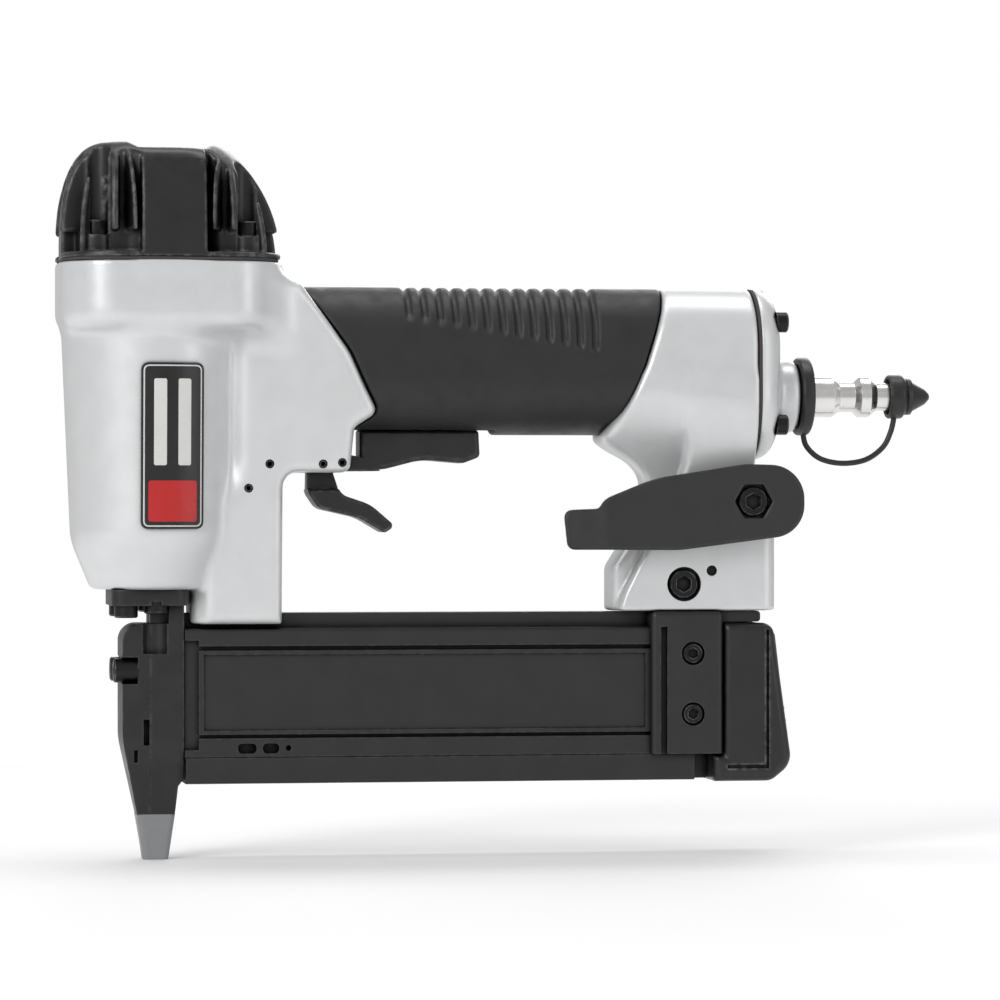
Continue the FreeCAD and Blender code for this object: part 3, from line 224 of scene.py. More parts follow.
def outline_distance(corners, u, v):
    """Signed distance in a plane to a closed outline, negative inside."""
    points = rounded(corners)
    nearest = np.full(np.broadcast(u, v).shape, 1e9, np.float32)
    inside = np.zeros(nearest.shape, bool)
    for (u0, v0), (u1, v1) in zip(points, points[1:] + points[:1]):
        du, dv = u1 - u0, v1 - v0
        square = du ** 2 + dv ** 2
        if square < 1e-9:
            continue
        along = np.clip(((u - u0) * du + (v - v0) * dv) / square, 0, 1)
        nearest = np.minimum(nearest, (u - u0 - along * du) ** 2 + (v - v0 - along * dv) ** 2)
        if v0 != v1:
            inside ^= ((v0 > v) != (v1 > v)) & (u < du * (v - v0) / dv + u0)
    return np.where(inside, -1, 1).astype(np.float32) * np.sqrt(nearest)


def grid(low, high, step):
    """Coordinate arrays x, y and z that broadcast to the grid's points."""
    axes = [np.arange(a, b + step, step, dtype=np.float32) for a, b in zip(low, high)]
    return axes[0][:, None, None], axes[1][None, :, None], axes[2][None, None, :]


def skin(name, points, field, step):
    """The closed mesh where a field on a grid is zero."""
    level = vdb.FloatGrid(3.0)
    level.copyFromArray(np.clip(field, -3, 3).astype(np.float32))
    corners, triangles, quads = level.convertToPolygons(isovalue=0.0, adaptivity=0.0)
    low = np.array([axis.ravel()[0] for axis in points])
    sides = np.repeat([4, 3], [len(quads), len(triangles)])
    mesh = bpy.data.meshes.new(name)
    mesh.vertices.add(len(corners))
    mesh.vertices.foreach_set("co", ((corners * step + low) * MM).astype(np.float32).ravel())
    mesh.loops.add(int(sides.sum()))
    mesh.loops.foreach_set("vertex_index", np.concatenate(
        [quads[:, ::-1].ravel(), triangles[:, ::-1].ravel()]).astype(np.int32))
    mesh.polygons.add(len(sides))
    mesh.polygons.foreach_set("loop_start", (np.cumsum(sides) - sides).astype(np.int32))
    mesh.update(calc_edges=True)
    mesh.validate()
    return add_object(name, mesh)


# ---- mesh pieces ----------------------------------------------------------------------------
# where a point (u, v) of an outline lies at a height w along each axis
PLACE = {
    "X": lambda u, v, w: (w, u, v),
    "Y": lambda u, v, w: (u, w, v),
    "Z": lambda u, v, w: (u, v, w),
}
# turns the Z axis to each axis
TURN = {
    "X": Matrix.Rotation(math.pi / 2, 3, "Y"),
    "Y": Matrix.Rotation(-math.pi / 2, 3, "X"),
    "Z": Matrix.Identity(3),
}


def add_object(name, mesh, smooth=True):
    piece = bpy.data.objects.new(name, mesh)
    bpy.context.collection.objects.link(piece)
    if smooth:
        mesh.shade_smooth()
    return piece


def mesh_of(bm, name):
    mesh = bpy.data.meshes.new(name)
    bmesh.ops.recalc_face_normals(bm, faces=bm.faces)
    bm.to_mesh(mesh)
    bm.free()
    return mesh


def prism(name, corners, axis, low, high):
    """An outline extruded along an axis; its (u, v) are the other two axes in order."""
    bm = bmesh.new()
    place = PLACE[axis]
    points = rounded(corners)
    ends = [[bm.verts.new(Vector(place(u, v, w)) * MM) for u, v in points] for w in (low, high)]
    bm.faces.new(ends[0])
    bm.faces.new(ends[1])
    for i in range(len(points)):
        j = (i + 1) % len(points)
        bm.faces.new((ends[0][i], ends[0][j], ends[1][j], ends[1][i]))
    return add_object(name, mesh_of(bm, name), False)


def box(x0, x1, y0, y1, z0, z1):
    """A cutter: a block between two x, two y and two z."""
    return prism("cutter", [(x0, y0), (x1, y0), (x1, y1), (x0, y1)], "Z", z0, z1)


def lathe(name, profile, axis, centre, segments=96):
    """A profile of (radius, height) turned about an axis through centre; a radius of 0 closes an end."""
    bm = bmesh.new()
    rings = []
    for radius, height in profile:
        count = segments if radius > 0 else 1
        angles = [math.tau * k / segments for k in range(count)]
        circle = [Vector((radius * math.cos(a), radius * math.sin(a), height)) for a in angles]
        rings.append([bm.verts.new((TURN[axis] @ p + Vector(centre)) * MM) for p in circle])
    closed = profile[0][0] > 0
    pairs = zip(rings, rings[1:] + rings[:1]) if closed else zip(rings, rings[1:])
    for a, b in pairs:
        for k in range(segments):
            n = (k + 1) % segments
            corners = [a[k % len(a)], a[n % len(a)], b[n % len(b)], b[k % len(b)]]
            bm.faces.new([c for i, c in enumerate(corners) if c not in corners[:i]])
    return add_object(name, mesh_of(bm, name), False)


def rod(axis, centre, radius, length, segments=48):
    """A cutter: a cylinder along an axis from its centre point."""
    return lathe("cutter", [(0, 0), (radius, 0), (radius, length), (0, length)], axis, centre, segments)


def apply_modifiers(piece):
    evaluated = piece.evaluated_get(bpy.context.evaluated_depsgraph_get())
    mesh = bpy.data.meshes.new_from_object(evaluated)
    piece.modifiers.clear()
    piece.data = mesh


def boolean(piece, tool, operation):
    """Applies one boolean to a piece and removes the tool."""
    modifier = piece.modifiers.new("boolean", "BOOLEAN")
    modifier.operation = operation
    modifier.solver = "MANIFOLD"
    modifier.object = tool
    apply_modifiers(piece)
    bpy.data.objects.remove(tool)


def cut(piece, tools):
    """Cuts the tools from a piece together, and removes them."""
    for tool in tools[1:]:
        boolean(tools[0], tool, "UNION")
    boolean(piece, tools[0], "DIFFERENCE")


def bevel(piece, width, segments=3, angle=30):
    """Rounds the edges that are sharper than an angle and shades the rest smooth."""
    modifier = piece.modifiers.new("bevel", "BEVEL")
    modifier.width = width * MM
    modifier.segments = segments
    modifier.limit_method = "ANGLE"
    modifier.angle_limit = math.radians(angle)
    apply_modifiers(piece)
    piece.data.shade_smooth()
    piece.data.set_sharp_from_angle(angle=math.radians(angle))
    return piece


def sweep(name, line, radius, sides=16):
    """A round wire along a close-set line of points."""
    bm = bmesh.new()
    rings = []
    angles = [math.tau * k / sides for k in range(sides)]
    for i, spot in enumerate(line):
        ahead = (line[min(i + 1, len(line) - 1)] - line[max(i - 1, 0)]).normalized()
        out = ahead.orthogonal().normalized() if i == 0 else (out - ahead * out.dot(ahead)).normalized()
        side = ahead.cross(out)
        ring = [spot + (out * math.cos(a) + side * math.sin(a)) * radius for a in angles]
        rings.append([bm.verts.new(p * MM) for p in ring])
    for a, b in zip(rings, rings[1:]):
        for k in range(sides):
            n = (k + 1) % sides
            bm.faces.new((a[k], a[n], b[n], b[k]))
    bm.faces.new(rings[0])
    bm.faces.new(rings[-1])
    return add_object(name, mesh_of(bm, name))


def tube(name, path, radius, samples=12):
    """A round cord along a smooth curve through points (x, z) in the tool's middle plane."""
    spots = [Vector((px, 0, pz)) for px, pz in path]
    line = []
    for i in range(len(spots) - 1):
        before, after = spots[max(i - 1, 0)], spots[min(i + 2, len(spots) - 1)]
        a, b = spots[i], spots[i + 1]
        for k in range(samples):
            t = k / samples
            line.append(0.5 * (2 * a + (b - before) * t + (2 * before - 5 * a + 4 * b - after) * t ** 2
                               + (3 * a - before - 3 * b + after) * t ** 3))
    line.append(spots[-1])
    return sweep(name, line, radius)


# ---- materials ------------------------------------------------------------------------------
class Look:
    """A material's node tree, with short ways to add nodes; lengths are millimetres."""

    def __init__(self, name):
        self.material = bpy.data.materials.new(name)
        self.material.use_nodes = True
        self.tree = self.material.node_tree
        self.shader = self.tree.nodes["Principled BSDF"]
        self.place = self.node("ShaderNodeTexCoord").outputs["Object"]

    def feed(self, socket, value):
        """Sets an input to a value, or links it to another node's output."""
        if isinstance(value, bpy.types.NodeSocket):
            self.tree.links.new(value, socket)
        else:
            socket.default_value = value

    def node(self, kind, inputs=None, **settings):
        made = self.tree.nodes.new(kind)
        for key, value in settings.items():
            setattr(made, key, value)
        for key, value in (inputs or {}).items():
            self.feed(made.inputs[key], value)
        return made

    def noise(self, size, detail, stretch=(1, 1, 1)):
        mapped = self.node("ShaderNodeMapping", {"Vector": self.place, "Scale": stretch})
        made = self.node("ShaderNodeTexNoise", {
            "Vector": mapped.outputs["Vector"], "Scale": 1 / (size * MM), "Detail": detail,
            "Roughness": 0.55})
        return made.outputs["Fac"]

    def spread(self, value, low, high, from_low=0.3, from_high=0.7):
        """Maps a value's range onto another; noise mostly lies between 0.3 and 0.7."""
        made = self.node("ShaderNodeMapRange", {
            "Value": value, "From Min": from_low, "From Max": from_high, "To Min": low, "To Max": high})
        return made.outputs["Result"]

    def product(self, a, b):
        made = self.node("ShaderNodeMath", {0: a, 1: b}, operation="MULTIPLY", use_clamp=True)
        return made.outputs["Value"]

    def mixed(self, factor, a, b):
        made = self.node("ShaderNodeMix", {"Factor": factor, "A": a, "B": b}, data_type="RGBA")
        return made.outputs["Result"]

    def rounded_normal(self, radius):
        return self.node("ShaderNodeBevel", {"Radius": radius * MM}, samples=4).outputs["Normal"]

    def mottled(self, colour, amount, size):
        """A colour whose brightness varies from place to place."""
        value = self.spread(self.noise(size, 4), 1 - amount, 1 + amount)
        made = self.node("ShaderNodeHueSaturation", {"Color": (*colour, 1), "Value": value})
        return made.outputs["Color"]

    def worn_and_highlit(self, surface, colour, wear_and_highlight, edge):
        """Another colour, in patches, where the rounded edges turn away from the faces: partly wear, partly
        a painted highlight along the edges.
        """
        true_normal = self.node("ShaderNodeNewGeometry").outputs["Normal"]
        facing = self.node("ShaderNodeVectorMath", {0: self.rounded_normal(edge * 2), 1: true_normal},
                           operation="DOT_PRODUCT").outputs["Value"]
        edges = self.spread(facing, wear_and_highlight, 0, 0.90, 0.995)
        patches = self.spread(self.noise(2.5, 6), 0, 1.6, 0.42, 0.62)
        return self.mixed(self.product(edges, patches), surface, (*colour, 1))

    def painted_recess_shade(self, surface, depth):
        """Paints shade into the recesses that are deeper than about a depth: darkens their colour and dulls
        their gloss.
        """
        sides = self.node("ShaderNodeAmbientOcclusion", {"Distance": depth * MM}, samples=6)
        shade = self.spread(sides.outputs["AO"], 0.05, 1.0, 0.25, 0.85)
        self.feed(self.shader.inputs["Specular IOR Level"], self.product(shade, 0.5))
        return self.mixed(shade, (0, 0, 0, 1), surface)

    def relief(self, grain, size, edge, stretch):
        """A fine grain over rounded edges."""
        bump = self.node("ShaderNodeBump", {
            "Strength": 1.0, "Distance": max(grain, 1e-4) * MM, "Height": self.noise(size, 3, stretch),
            "Normal": self.rounded_normal(edge)})
        return bump.outputs["Normal"]


def finish(name, colour, roughness, metallic=0.0, grain=0.0, grain_size=0.5, mottle=0.04, mottle_size=9.0,
           wear_and_highlight=0.0, wear_and_highlight_colour=None, edge=0.35, coat=0.0, smear=0.06, brushed=(1, 1, 1), depth=0.0):
    """A material of graded colour, smears in its gloss, a fine grain, rounded edges and paler corners that
    are partly worn and partly painted highlights.

    A depth in millimetres paints shade into the recesses that are deeper than about that.
    """
    look = Look(name)
    surface = look.mottled(colour, mottle, mottle_size)
    # paler edges: partly wear, partly a painted highlight along the edges
    if wear_and_highlight:
        surface = look.worn_and_highlit(surface, wear_and_highlight_colour, wear_and_highlight, edge)
    # painted shade in the recesses
    if depth:
        surface = look.painted_recess_shade(surface, depth)
    gloss = look.spread(look.noise(mottle_size * 0.6, 5), roughness - smear, roughness + smear)
    settings = {
        "Base Color": surface,
        "Roughness": gloss,
        "Normal": look.relief(grain, grain_size, edge, brushed),
        "Metallic": metallic,
        "Coat Weight": coat,
        "Coat Roughness": 0.25,
    }
    for key, value in settings.items():
        look.feed(look.shader.inputs[key], value)
    return look.material


# A finish's depth paints shade into its recesses.
FINISHES = {
    "cast_silver": finish(
        "cast_silver_paint", (0.66, 0.665, 0.672), 0.36, 0.40, grain=0.030, grain_size=0.55, mottle=0.03,
        wear_and_highlight=0.25, wear_and_highlight_colour=(0.80, 0.80, 0.80), edge=0.5, coat=0.25, depth=2.5),
    # pale edge colour: mostly a painted highlight along the fins' edges, partly wear
    "black_nylon": finish(
        "black_nylon", (0.011, 0.011, 0.012), 0.33, grain=0.035, grain_size=0.35, mottle=0.15,
        wear_and_highlight=0.7, wear_and_highlight_colour=(0.17, 0.17, 0.175), edge=0.6, depth=5.0),
    "soft_rubber": finish(
        "soft_rubber", (0.011, 0.011, 0.0115), 0.50, grain=0.045, grain_size=0.30, mottle=0.15,
        wear_and_highlight=0.3, wear_and_highlight_colour=(0.05, 0.05, 0.05), edge=0.6, smear=0.10, depth=2.0),
    "badge_black": finish("badge_black", (0.010, 0.010, 0.011), 0.28, grain=0.008, mottle=0.1, edge=0.25),
    "black_oxide": finish(
        "black_oxide", (0.018, 0.018, 0.019), 0.36, 0.7, grain=0.012, grain_size=0.25, mottle=0.15,
        wear_and_highlight=0.5, wear_and_highlight_colour=(0.34, 0.34, 0.34), edge=0.2, depth=2.0),
    "dark_steel": finish(
        "dark_steel", (0.026, 0.0262, 0.0265), 0.40, 0.45, grain=0.025, grain_size=0.5, mottle=0.18,
        wear_and_highlight=0.35, wear_and_highlight_colour=(0.11, 0.11, 0.11), edge=0.45, depth=3.0),
    # paler edges: partly a painted highlight along the magazine's edges, partly wear
    "anodised_dark": finish(
        "anodised_dark", (0.022, 0.0222, 0.0222), 0.42, 0.25, grain=0.020, grain_size=0.4, mottle=0.10,
        wear_and_highlight=0.4, wear_and_highlight_colour=(0.09, 0.09, 0.09), edge=0.4, depth=3.0),
    "hook_paint": finish(
        "hook_paint", (0.020, 0.0205, 0.0205), 0.46, 0.1, grain=0.030, grain_size=0.45, mottle=0.12,
        wear_and_highlight=0.4, wear_and_highlight_colour=(0.09, 0.09, 0.09), edge=0.5, depth=2.0),
    "tip_plastic": finish("tip_plastic", (0.235, 0.238, 0.245), 0.45, grain=0.020, mottle=0.08, edge=0.4),
    "bright_steel": finish(
        "bright_steel", (0.78, 0.77, 0.76), 0.22, 1.0, grain=0.006, grain_size=0.3, mottle=0.06,
        edge=0.25, brushed=(8, 1, 1)),
    "spring_steel": finish("spring_steel", (0.42, 0.42, 0.43), 0.28, 1.0, grain=0.004, edge=0.1),
    "tool_steel": finish(
        "tool_steel", (0.40, 0.40, 0.41), 0.26, 1.0, grain=0.008, edge=0.15, brushed=(1, 1, 8)),
    "bare_aluminium": finish("bare_aluminium", (0.66, 0.67, 0.68), 0.32, 1.0, grain=0.008, edge=0.3),
    "seal_rubber": finish("seal_rubber", (0.014, 0.014, 0.014), 0.45, grain=0.01, edge=0.1),
    "bumper_rubber": finish("bumper_rubber", (0.05, 0.012, 0.008), 0.55, grain=0.02, edge=0.4),
    "gasket_fibre": finish(
        "gasket_fibre", (0.05, 0.048, 0.044), 0.85, grain=0.04, grain_size=0.25, edge=0.1),
    "felt": finish("felt", (0.09, 0.088, 0.08), 0.95, grain=0.15, grain_size=0.25, edge=0.1),
    "cap_vinyl": finish("cap_vinyl", (0.012, 0.012, 0.013), 0.40, grain=0.02, grain_size=0.35, edge=0.4),
    "badge_light": finish("badge_light", (0.62, 0.62, 0.60), 0.35, grain=0.005, edge=0.1),
    "badge_red": finish("badge_red", (0.46, 0.012, 0.012), 0.30, grain=0.005, edge=0.1),
}
SLOT_OF = {part["node"]: part["material_slot"] for part in frame["record"]["subparts"]}


def dress(piece, slot, body="root", replaces=()):
    """Gives a finished piece its material, the body it rides on and the CAD nodes it stands for."""
    piece.data.materials.clear()
    piece.data.materials.append(FINISHES[slot])
    if body:
        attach(piece, body)
    if replaces:
        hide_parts(*replaces)


def dress_cad_nodes():
    """Gives every piece that comes straight from the CAD its material and sharp edges."""
    for name, node in NODES.items():
        node.data.materials.clear()
        node.data.materials.append(FINISHES[SLOT_OF[name]])
        node.data.set_sharp_from_angle(angle=math.radians(30))


# ---- head section, shared by the collar and the head cap ------------------------------------
def head_distance(x, y, front, back, side, k=4.0):
    """Distance to the head's outline, a box with soft bevelled corners, inset from its largest size."""
    middle = (CAP_X0 + front + CAP_X1 - back) / 2
    half_x = (CAP_X1 - back - CAP_X0 - front) / 2
    half_y = CAP_HALF - side
    u, v = np.abs(x - middle), np.abs(y)
    square = soft_max(u - half_x, v - half_y, k)
    return soft_max(square, (u + v - half_x - half_y + CAP_CHAMFER) / math.sqrt(2), k)


def cap_screw_places():
    dx, dy = CAP_SCREW_OFFSET
    return [(CAP_MIDDLE + sx * dx, sy * dy) for sx in (-1, 1) for sy in (-1, 1)]


# ---- the casting ----------------------------------------------------------------------------
def barrel_radius(z):
    return BARREL_R0 + (BARREL_R1 - BARREL_R0) * (z - CONE_Z1) / (BARREL_Z1 - CONE_Z1)


def barrel_field(x, y, z):
    radius = np.hypot(x, y)
    cone = CONE_R + (BARREL_R0 - CONE_R) * (z - BODY_Z0) / (CONE_Z1 - BODY_Z0)
    barrel = soft_max((radius - cone) * 0.92, radius - barrel_radius(z), 1.2)
    barrel = soft_max(barrel, BODY_Z0 - z, 1.6)
    return np.maximum(barrel, z - DECK_Z + 1)


def collar_field(x, y, z):
    collar = soft_max(head_distance(x, y, 0, 0, 0), COLLAR_Z0 - z, 6.0)
    return soft_max(collar, z - DECK_Z, 0.8)


def wing_field(x, y, z):
    """The flat wing and the leg, with a valley beside the barrel and a bevel up the leg's front edge."""
    above = np.clip((z - VALLEY_BOTTOM[0]) / (VALLEY_BOTTOM[1] - VALLEY_BOTTOM[0]), 0, 1)
    below = np.clip((VALLEY_TOP[1] - z) / (VALLEY_TOP[1] - VALLEY_TOP[0]), 0, 1)
    valley = VALLEY_DEPTH * np.exp(-((x - VALLEY_X) / VALLEY_WIDTH) ** 2) * smooth_step(below * above)
    half = LEG_HALF + (WING_HALF - LEG_HALF) * (z - LEG_Z0) / (WING_Z1 - LEG_Z0)
    side = np.abs(y) - half + valley
    wing = soft_max(outline_distance(WING_OUTLINE, x, z), side, 3.0)
    return soft_max(wing, (side + LEG_X0 + LEG_BEVEL - x) / math.sqrt(2), 1.2)


def core_field(x, y, z):
    """The handle inside its rubber."""
    core = round_rect(y, z - GRIP_MIDDLE, GRIP_HALF - RUBBER, GRIP_HALF_Z - RUBBER, CORE_CORNER)
    return np.maximum(core, np.abs(x - (CORE_X0 + CORE_X1) / 2) - (CORE_X1 - CORE_X0) / 2)


def housing_field(x, y, z):
    """The rear of the handle, the column below it and the foot with its thinner toe."""
    outline = outline_distance(HOUSING_OUTLINE, x, z)
    places, *sizes = np.array(HOUSING_STATIONS).T
    curves = [np.polyfit(places, size, 2) for size in sizes]
    half, low, high, corner = (np.polyval(curve, x).astype(np.float32) for curve in curves)
    shell = round_rect(y, z - (low + high) / 2, half, (high - low) / 2, corner)
    shell = soft_max(shell, outline, 2.0)
    toe = TOE_NORMAL[0] * (x - TOE_FOOT[0]) + TOE_NORMAL[1] * (z - TOE_FOOT[1])
    side = soft_min(soft_max(np.abs(y) - FOOT_HALF, toe, 1.6), np.abs(y) - TOE_HALF, 1.2)
    column = soft_max(soft_max(outline, side, 4.5), z - COLUMN_Z1, 1.0)
    column = soft_max(column, FOOT_Z0 - z, 1.0)
    boss = np.hypot(x - HOOK_PIVOT[0], z - HOOK_PIVOT[1]) - HOOK_BOSS_R
    boss = soft_max(boss, np.abs(y) + HOOK_Y + 0.4, 1.2)
    rear = soft_min(soft_min(shell, column, 12.0), boss, 2.0)
    return soft_max(rear, x - np.where(z > 106, HOUSING_X1, FOOT_X1), 0.6)


def cross_hole(place, radius, y0=-30, length=60, segments=48):
    """A cutter along Y at a place (x, z), right through the casting unless it is given a depth."""
    return rod("Y", (place[0], y0, place[1]), radius, length, segments)


def casting_cutters():
    return [
        # bore, blade hole, air passages and the trigger valve's seat
        rod("Z", (0, 0, FLOOR_Z), BORE_R, 100, 96),
        rod("Z", (0, 0, 60), BLADE_HOLE_R, 40),
        rod("X", (17, 0, RESERVOIR_Z), RESERVOIR_R, 170),
        rod("X", (26, 0, EXHAUST_Z), EXHAUST_R, 160),
        rod("Z", (VALVE_X, 0, 120), VALVE_R, VALVE_Z1 - 120),
        # slot for the two levers, and the pocket the trigger rises into
        box(42.4, 70, -LEVER_HALF, LEVER_HALF, 90, 122),
        box(56.6, 96, -LEVER_HALF, LEVER_HALF, 100, POCKET_Z1),
        # slots in the leg and in the foot for the magazine
        box(LEG_X0 - 1, LEG_X1 + 1, -LUG_HALF, LUG_HALF, 60, SPINE_Z1),
        box(141.6, 163.0, -LUG_HALF, LUG_HALF, 60, 86.0),
        # bracket screw with its head and its nut, the dowel, and the belt hook's thread
        cross_hole(BRACKET_SCREW, M5_R),
        cross_hole(BRACKET_SCREW, 4.9, length=30 - FOOT_HALF + 3.4),
        cross_hole(BRACKET_SCREW, 4.7, FOOT_HALF - 3.4, 20, 6),
        cross_hole(BRACKET_DOWEL, DOWEL_R),
        cross_hole(HOOK_PIVOT, M5_R),
        *(cross_hole(place, PIN_R) for place in CROSS_PINS),
        *(rod("Z", (px, py, DECK_Z - 12), 1.9, 20) for px, py in cap_screw_places()),
    ]


def casting():
    points = grid((-28.0, -29.5, 64.5), (179.0, 29.5, 169.5), CASTING_STEP)
    x, y, z = points
    body = soft_min(barrel_field(x, y, z), wing_field(x, y, z), 1.8)
    # the collar runs into the wing more softly than into the barrel
    body = soft_min(body, collar_field(x, y, z), 2.5 + 5.5 * np.clip((x - 2) / 26, 0, 1))
    body = np.minimum(body, core_field(x, y, z))
    body = np.minimum(body, housing_field(x, y, z))
    body = soft_max(body, z - DECK_Z, 0.4)
    piece = skin("casting", points, body, CASTING_STEP)
    cut(piece, casting_cutters())
    piece.data.shade_smooth()
    piece.data.set_sharp_from_angle(angle=math.radians(42))
    dress(piece, "cast_silver", replaces=("body_casting",))


# ---- head cap -------------------------------------------------------------------------------
def dome(t, rise, fall):
    return 1 - np.power(np.clip(1 - np.power(t, rise), 0, 1), fall)


def dome_field(x, y, z, z0):
    """The cap's outside: a dome with a flat crest, and faces set back below its brow."""
    t = np.clip((z - z0) / (CAP_Z1 + 0.8 - z0), 0, 1)
    round_inset = 15.0 * dome(t, 3.0, 0.5)
    cap = head_distance(x, y, round_inset, 20.0 * dome(t, 1.9, 0.75), round_inset)
    panel = np.minimum(np.abs(x - CAP_MIDDLE) - PANEL_HALF_X, np.abs(y) - PANEL_HALF_Y)
    cap = soft_max(cap, z - (CAP_Z1 - 1.2 - 0.6 * np.clip(2.0 - panel, 0, 3)), 2.2)
    below_brow = np.where(panel < 0, 1.0, 0.0) * np.clip((BROW_Z - z) / 0.6, 0, 1)
    return cap + PANEL_INSET * below_brow


def corner_slots(x, y, z):
    """The pockets in the corners, less the crown, the chamber's wall, the ribs and the screws' seats."""
    across, along = np.abs(x - CAP_MIDDLE) - CROWN[0], np.abs(y) - CROWN[1]
    pocket = np.maximum(np.maximum(-CAP_PANEL - across, -CAP_PANEL - along), CAP_POCKET_Z0 - z)
    kept = soft_min(np.hypot(across, along) - CROWN_R, np.hypot(x, y) - BORE_R - 2.5, 1.0)
    for bearing, width, foot in CAP_RIBS:
        angle = math.radians(bearing)
        beside = np.abs(across * math.cos(angle) - along * math.sin(angle)) - width / 2
        behind = -across * math.sin(angle) - along * math.cos(angle)
        kept = soft_min(kept, soft_max(np.maximum(beside, behind), foot - z, 0.8), 0.8)
    for px, py in cap_screw_places():
        kept = np.minimum(kept, np.maximum(np.hypot(x - px, y - py) - 4.6, z - CAP_SCREW_SEAT))
    return soft_cut(pocket, kept, 0.4)


def head_cap():
    """Domed cap whose corners are cut into fins by deep vertical slots around the screws."""
    z0 = DECK_Z + GASKET
    points = grid((CAP_X0 - 1, -CAP_HALF - 1, z0 - 1), (CAP_X1 + 1, CAP_HALF + 1, CAP_Z1 + 1), COVER_STEP)
    x, y, z = points
    cap = soft_cut(dome_field(x, y, z, z0), corner_slots(x, y, z), 0.9)
    for px, py in cap_screw_places():
        hole = np.hypot(x - px, y - py)
        cap = soft_cut(cap, np.maximum(hole - 3.8, CAP_SCREW_SEAT - z), 0.5)
        cap = soft_cut(cap, hole - 2.1, 0.3)
    cap = soft_cut(cap, np.maximum(np.hypot(x, y) - BORE_R, z - CHAMBER_Z1), 0.4)
    cap = soft_max(cap, z0 - z, 0.6)
    dress(skin("head_cover", points, cap, COVER_STEP), "black_nylon", replaces=("head_cap",))


# ---- rubber grip ----------------------------------------------------------------------------
def grip():
    """Rubber sleeve with soft ribs across its top that run further down the sides towards the rear."""
    points = grid((34.0, -18.0, GRIP_Z0 - 1.5), (147.0, 18.0, GRIP_Z1 + 1.5), COVER_STEP)
    x, y, z = points
    level = z - GRIP_MIDDLE
    sleeve = round_rect(y, level, GRIP_HALF, GRIP_HALF_Z, GRIP_HALF - 0.5)
    for k in range(RIB_COUNT):
        groove = np.exp(-np.abs((x - RIB_X0 - k * RIB_PITCH) / 0.95) ** 3)
        fade = np.clip((z - (151.0 - 0.75 * k)) / 2.5, 0, 1)
        sleeve = sleeve + 0.95 * groove * fade
    core = round_rect(y, level, GRIP_HALF - RUBBER, GRIP_HALF_Z - RUBBER, CORE_CORNER)
    sleeve = soft_cut(sleeve, core, 0.3)
    for outline in (WING_OUTLINE, HOUSING_OUTLINE):
        sleeve = soft_cut(sleeve, outline_distance(outline, x, z) - 0.25, 0.9)
    # the slot that the trigger rises through
    slot = np.maximum(np.maximum(np.abs(y) - LEVER_HALF - 0.3, np.abs(x - 73.25) - 23.25), z - 125)
    sleeve = soft_cut(sleeve, slot, 0.8)
    dress(skin("grip", points, sleeve, COVER_STEP), "soft_rubber", replaces=("grip_sleeve",))


# ---- badge ----------------------------------------------------------------------------------
def barrel_patch(name, x0, x1, z0, z1, corner, inner, outer):
    """A thin closed plate that follows the barrel's left side between two distances from its surface."""
    outline = [(x0, z0, corner), (x1, z0, corner), (x1, z1, corner), (x0, z1, corner)]
    patch = prism(name, outline, "Y", -1, 0)
    bm = bmesh.new()
    bm.from_mesh(patch.data)
    for place in np.arange(x0 + 0.6, x1 - 0.2, 0.9):
        parts = bm.verts[:] + bm.edges[:] + bm.faces[:]
        bmesh.ops.bisect_plane(bm, geom=parts, plane_co=(place * MM, 0, 0), plane_no=(1, 0, 0), dist=1e-7)
    for vert in bm.verts:
        lift = outer if vert.co.y < -0.5 * MM else inner
        radius = barrel_radius(vert.co.z / MM) + lift
        vert.co.y = -math.sqrt(radius ** 2 - (vert.co.x / MM) ** 2) * MM
    bm.to_mesh(patch.data)
    bm.free()
    patch.data.set_sharp_from_angle(angle=math.radians(35))
    return patch


def badge():
    """A dark plate with a pale rim, a red block and plain stripes, and no lettering."""
    dress(barrel_patch("badge_plate", -4.9, 12.7, 93.0, 139.0, 1.8, 0.02, 0.9), "badge_black",
          replaces=("name_badge",))
    dress(barrel_patch("badge_rim", -4.3, 12.1, 93.6, 138.4, 1.4, 0.8, 1.0), "badge_light")
    dress(barrel_patch("badge_field", -3.9, 11.7, 94.0, 138.0, 1.1, 0.9, 1.08), "badge_black")
    dress(barrel_patch("badge_block", -2.9, 10.7, 95.0, 106.4, 0.7, 1.0, 1.16), "badge_red")
    for k, x0 in enumerate((-1.4, 5.4)):
        stripe = barrel_patch(f"badge_stripe_{k + 1}", x0, x0 + 3.6, 110.6, 134.6, 0.5, 1.0, 1.16)
        dress(stripe, "badge_light")


# ---- belt hook ------------------------------------------------------------------------------
def hook():
    """Flat steel hook with a hexagonal hole and an end that flares away from the tool."""
    points = grid((112.0, -26.0, 85.0), (186.0, -14.5, 113.0), HOOK_STEP)
    x, y, z = points
    t = np.clip((HOOK_FLARE_X - x) / HOOK_FLARE_LENGTH, 0, 1)
    middle = HOOK_Y - HOOK_T / 2 - HOOK_FLARE * smooth_step(t)
    arm = soft_max(outline_distance(HOOK_OUTLINE, x, z), np.abs(y - middle) - HOOK_T / 2, 1.0)
    u, w = x - HOOK_PIVOT[0], z - HOOK_PIVOT[1]
    slanted = np.maximum(np.abs(0.5 * w + 0.866 * u), np.abs(0.5 * w - 0.866 * u))
    arm = soft_cut(arm, np.maximum(np.abs(w), slanted) - HOOK_HEX, 0.5)
    dress(skin("hook", points, arm, HOOK_STEP), "hook_paint", "hook_body", ("belt_hook",))


# ---- air inlet end --------------------------------------------------------------------------
def end_screw_places():
    return [(sy * END_SCREW_Y, END_SCREW_Z + sz * END_SCREW_OFFSET) for sy in (-1, 1) for sz in (-1, 1)]


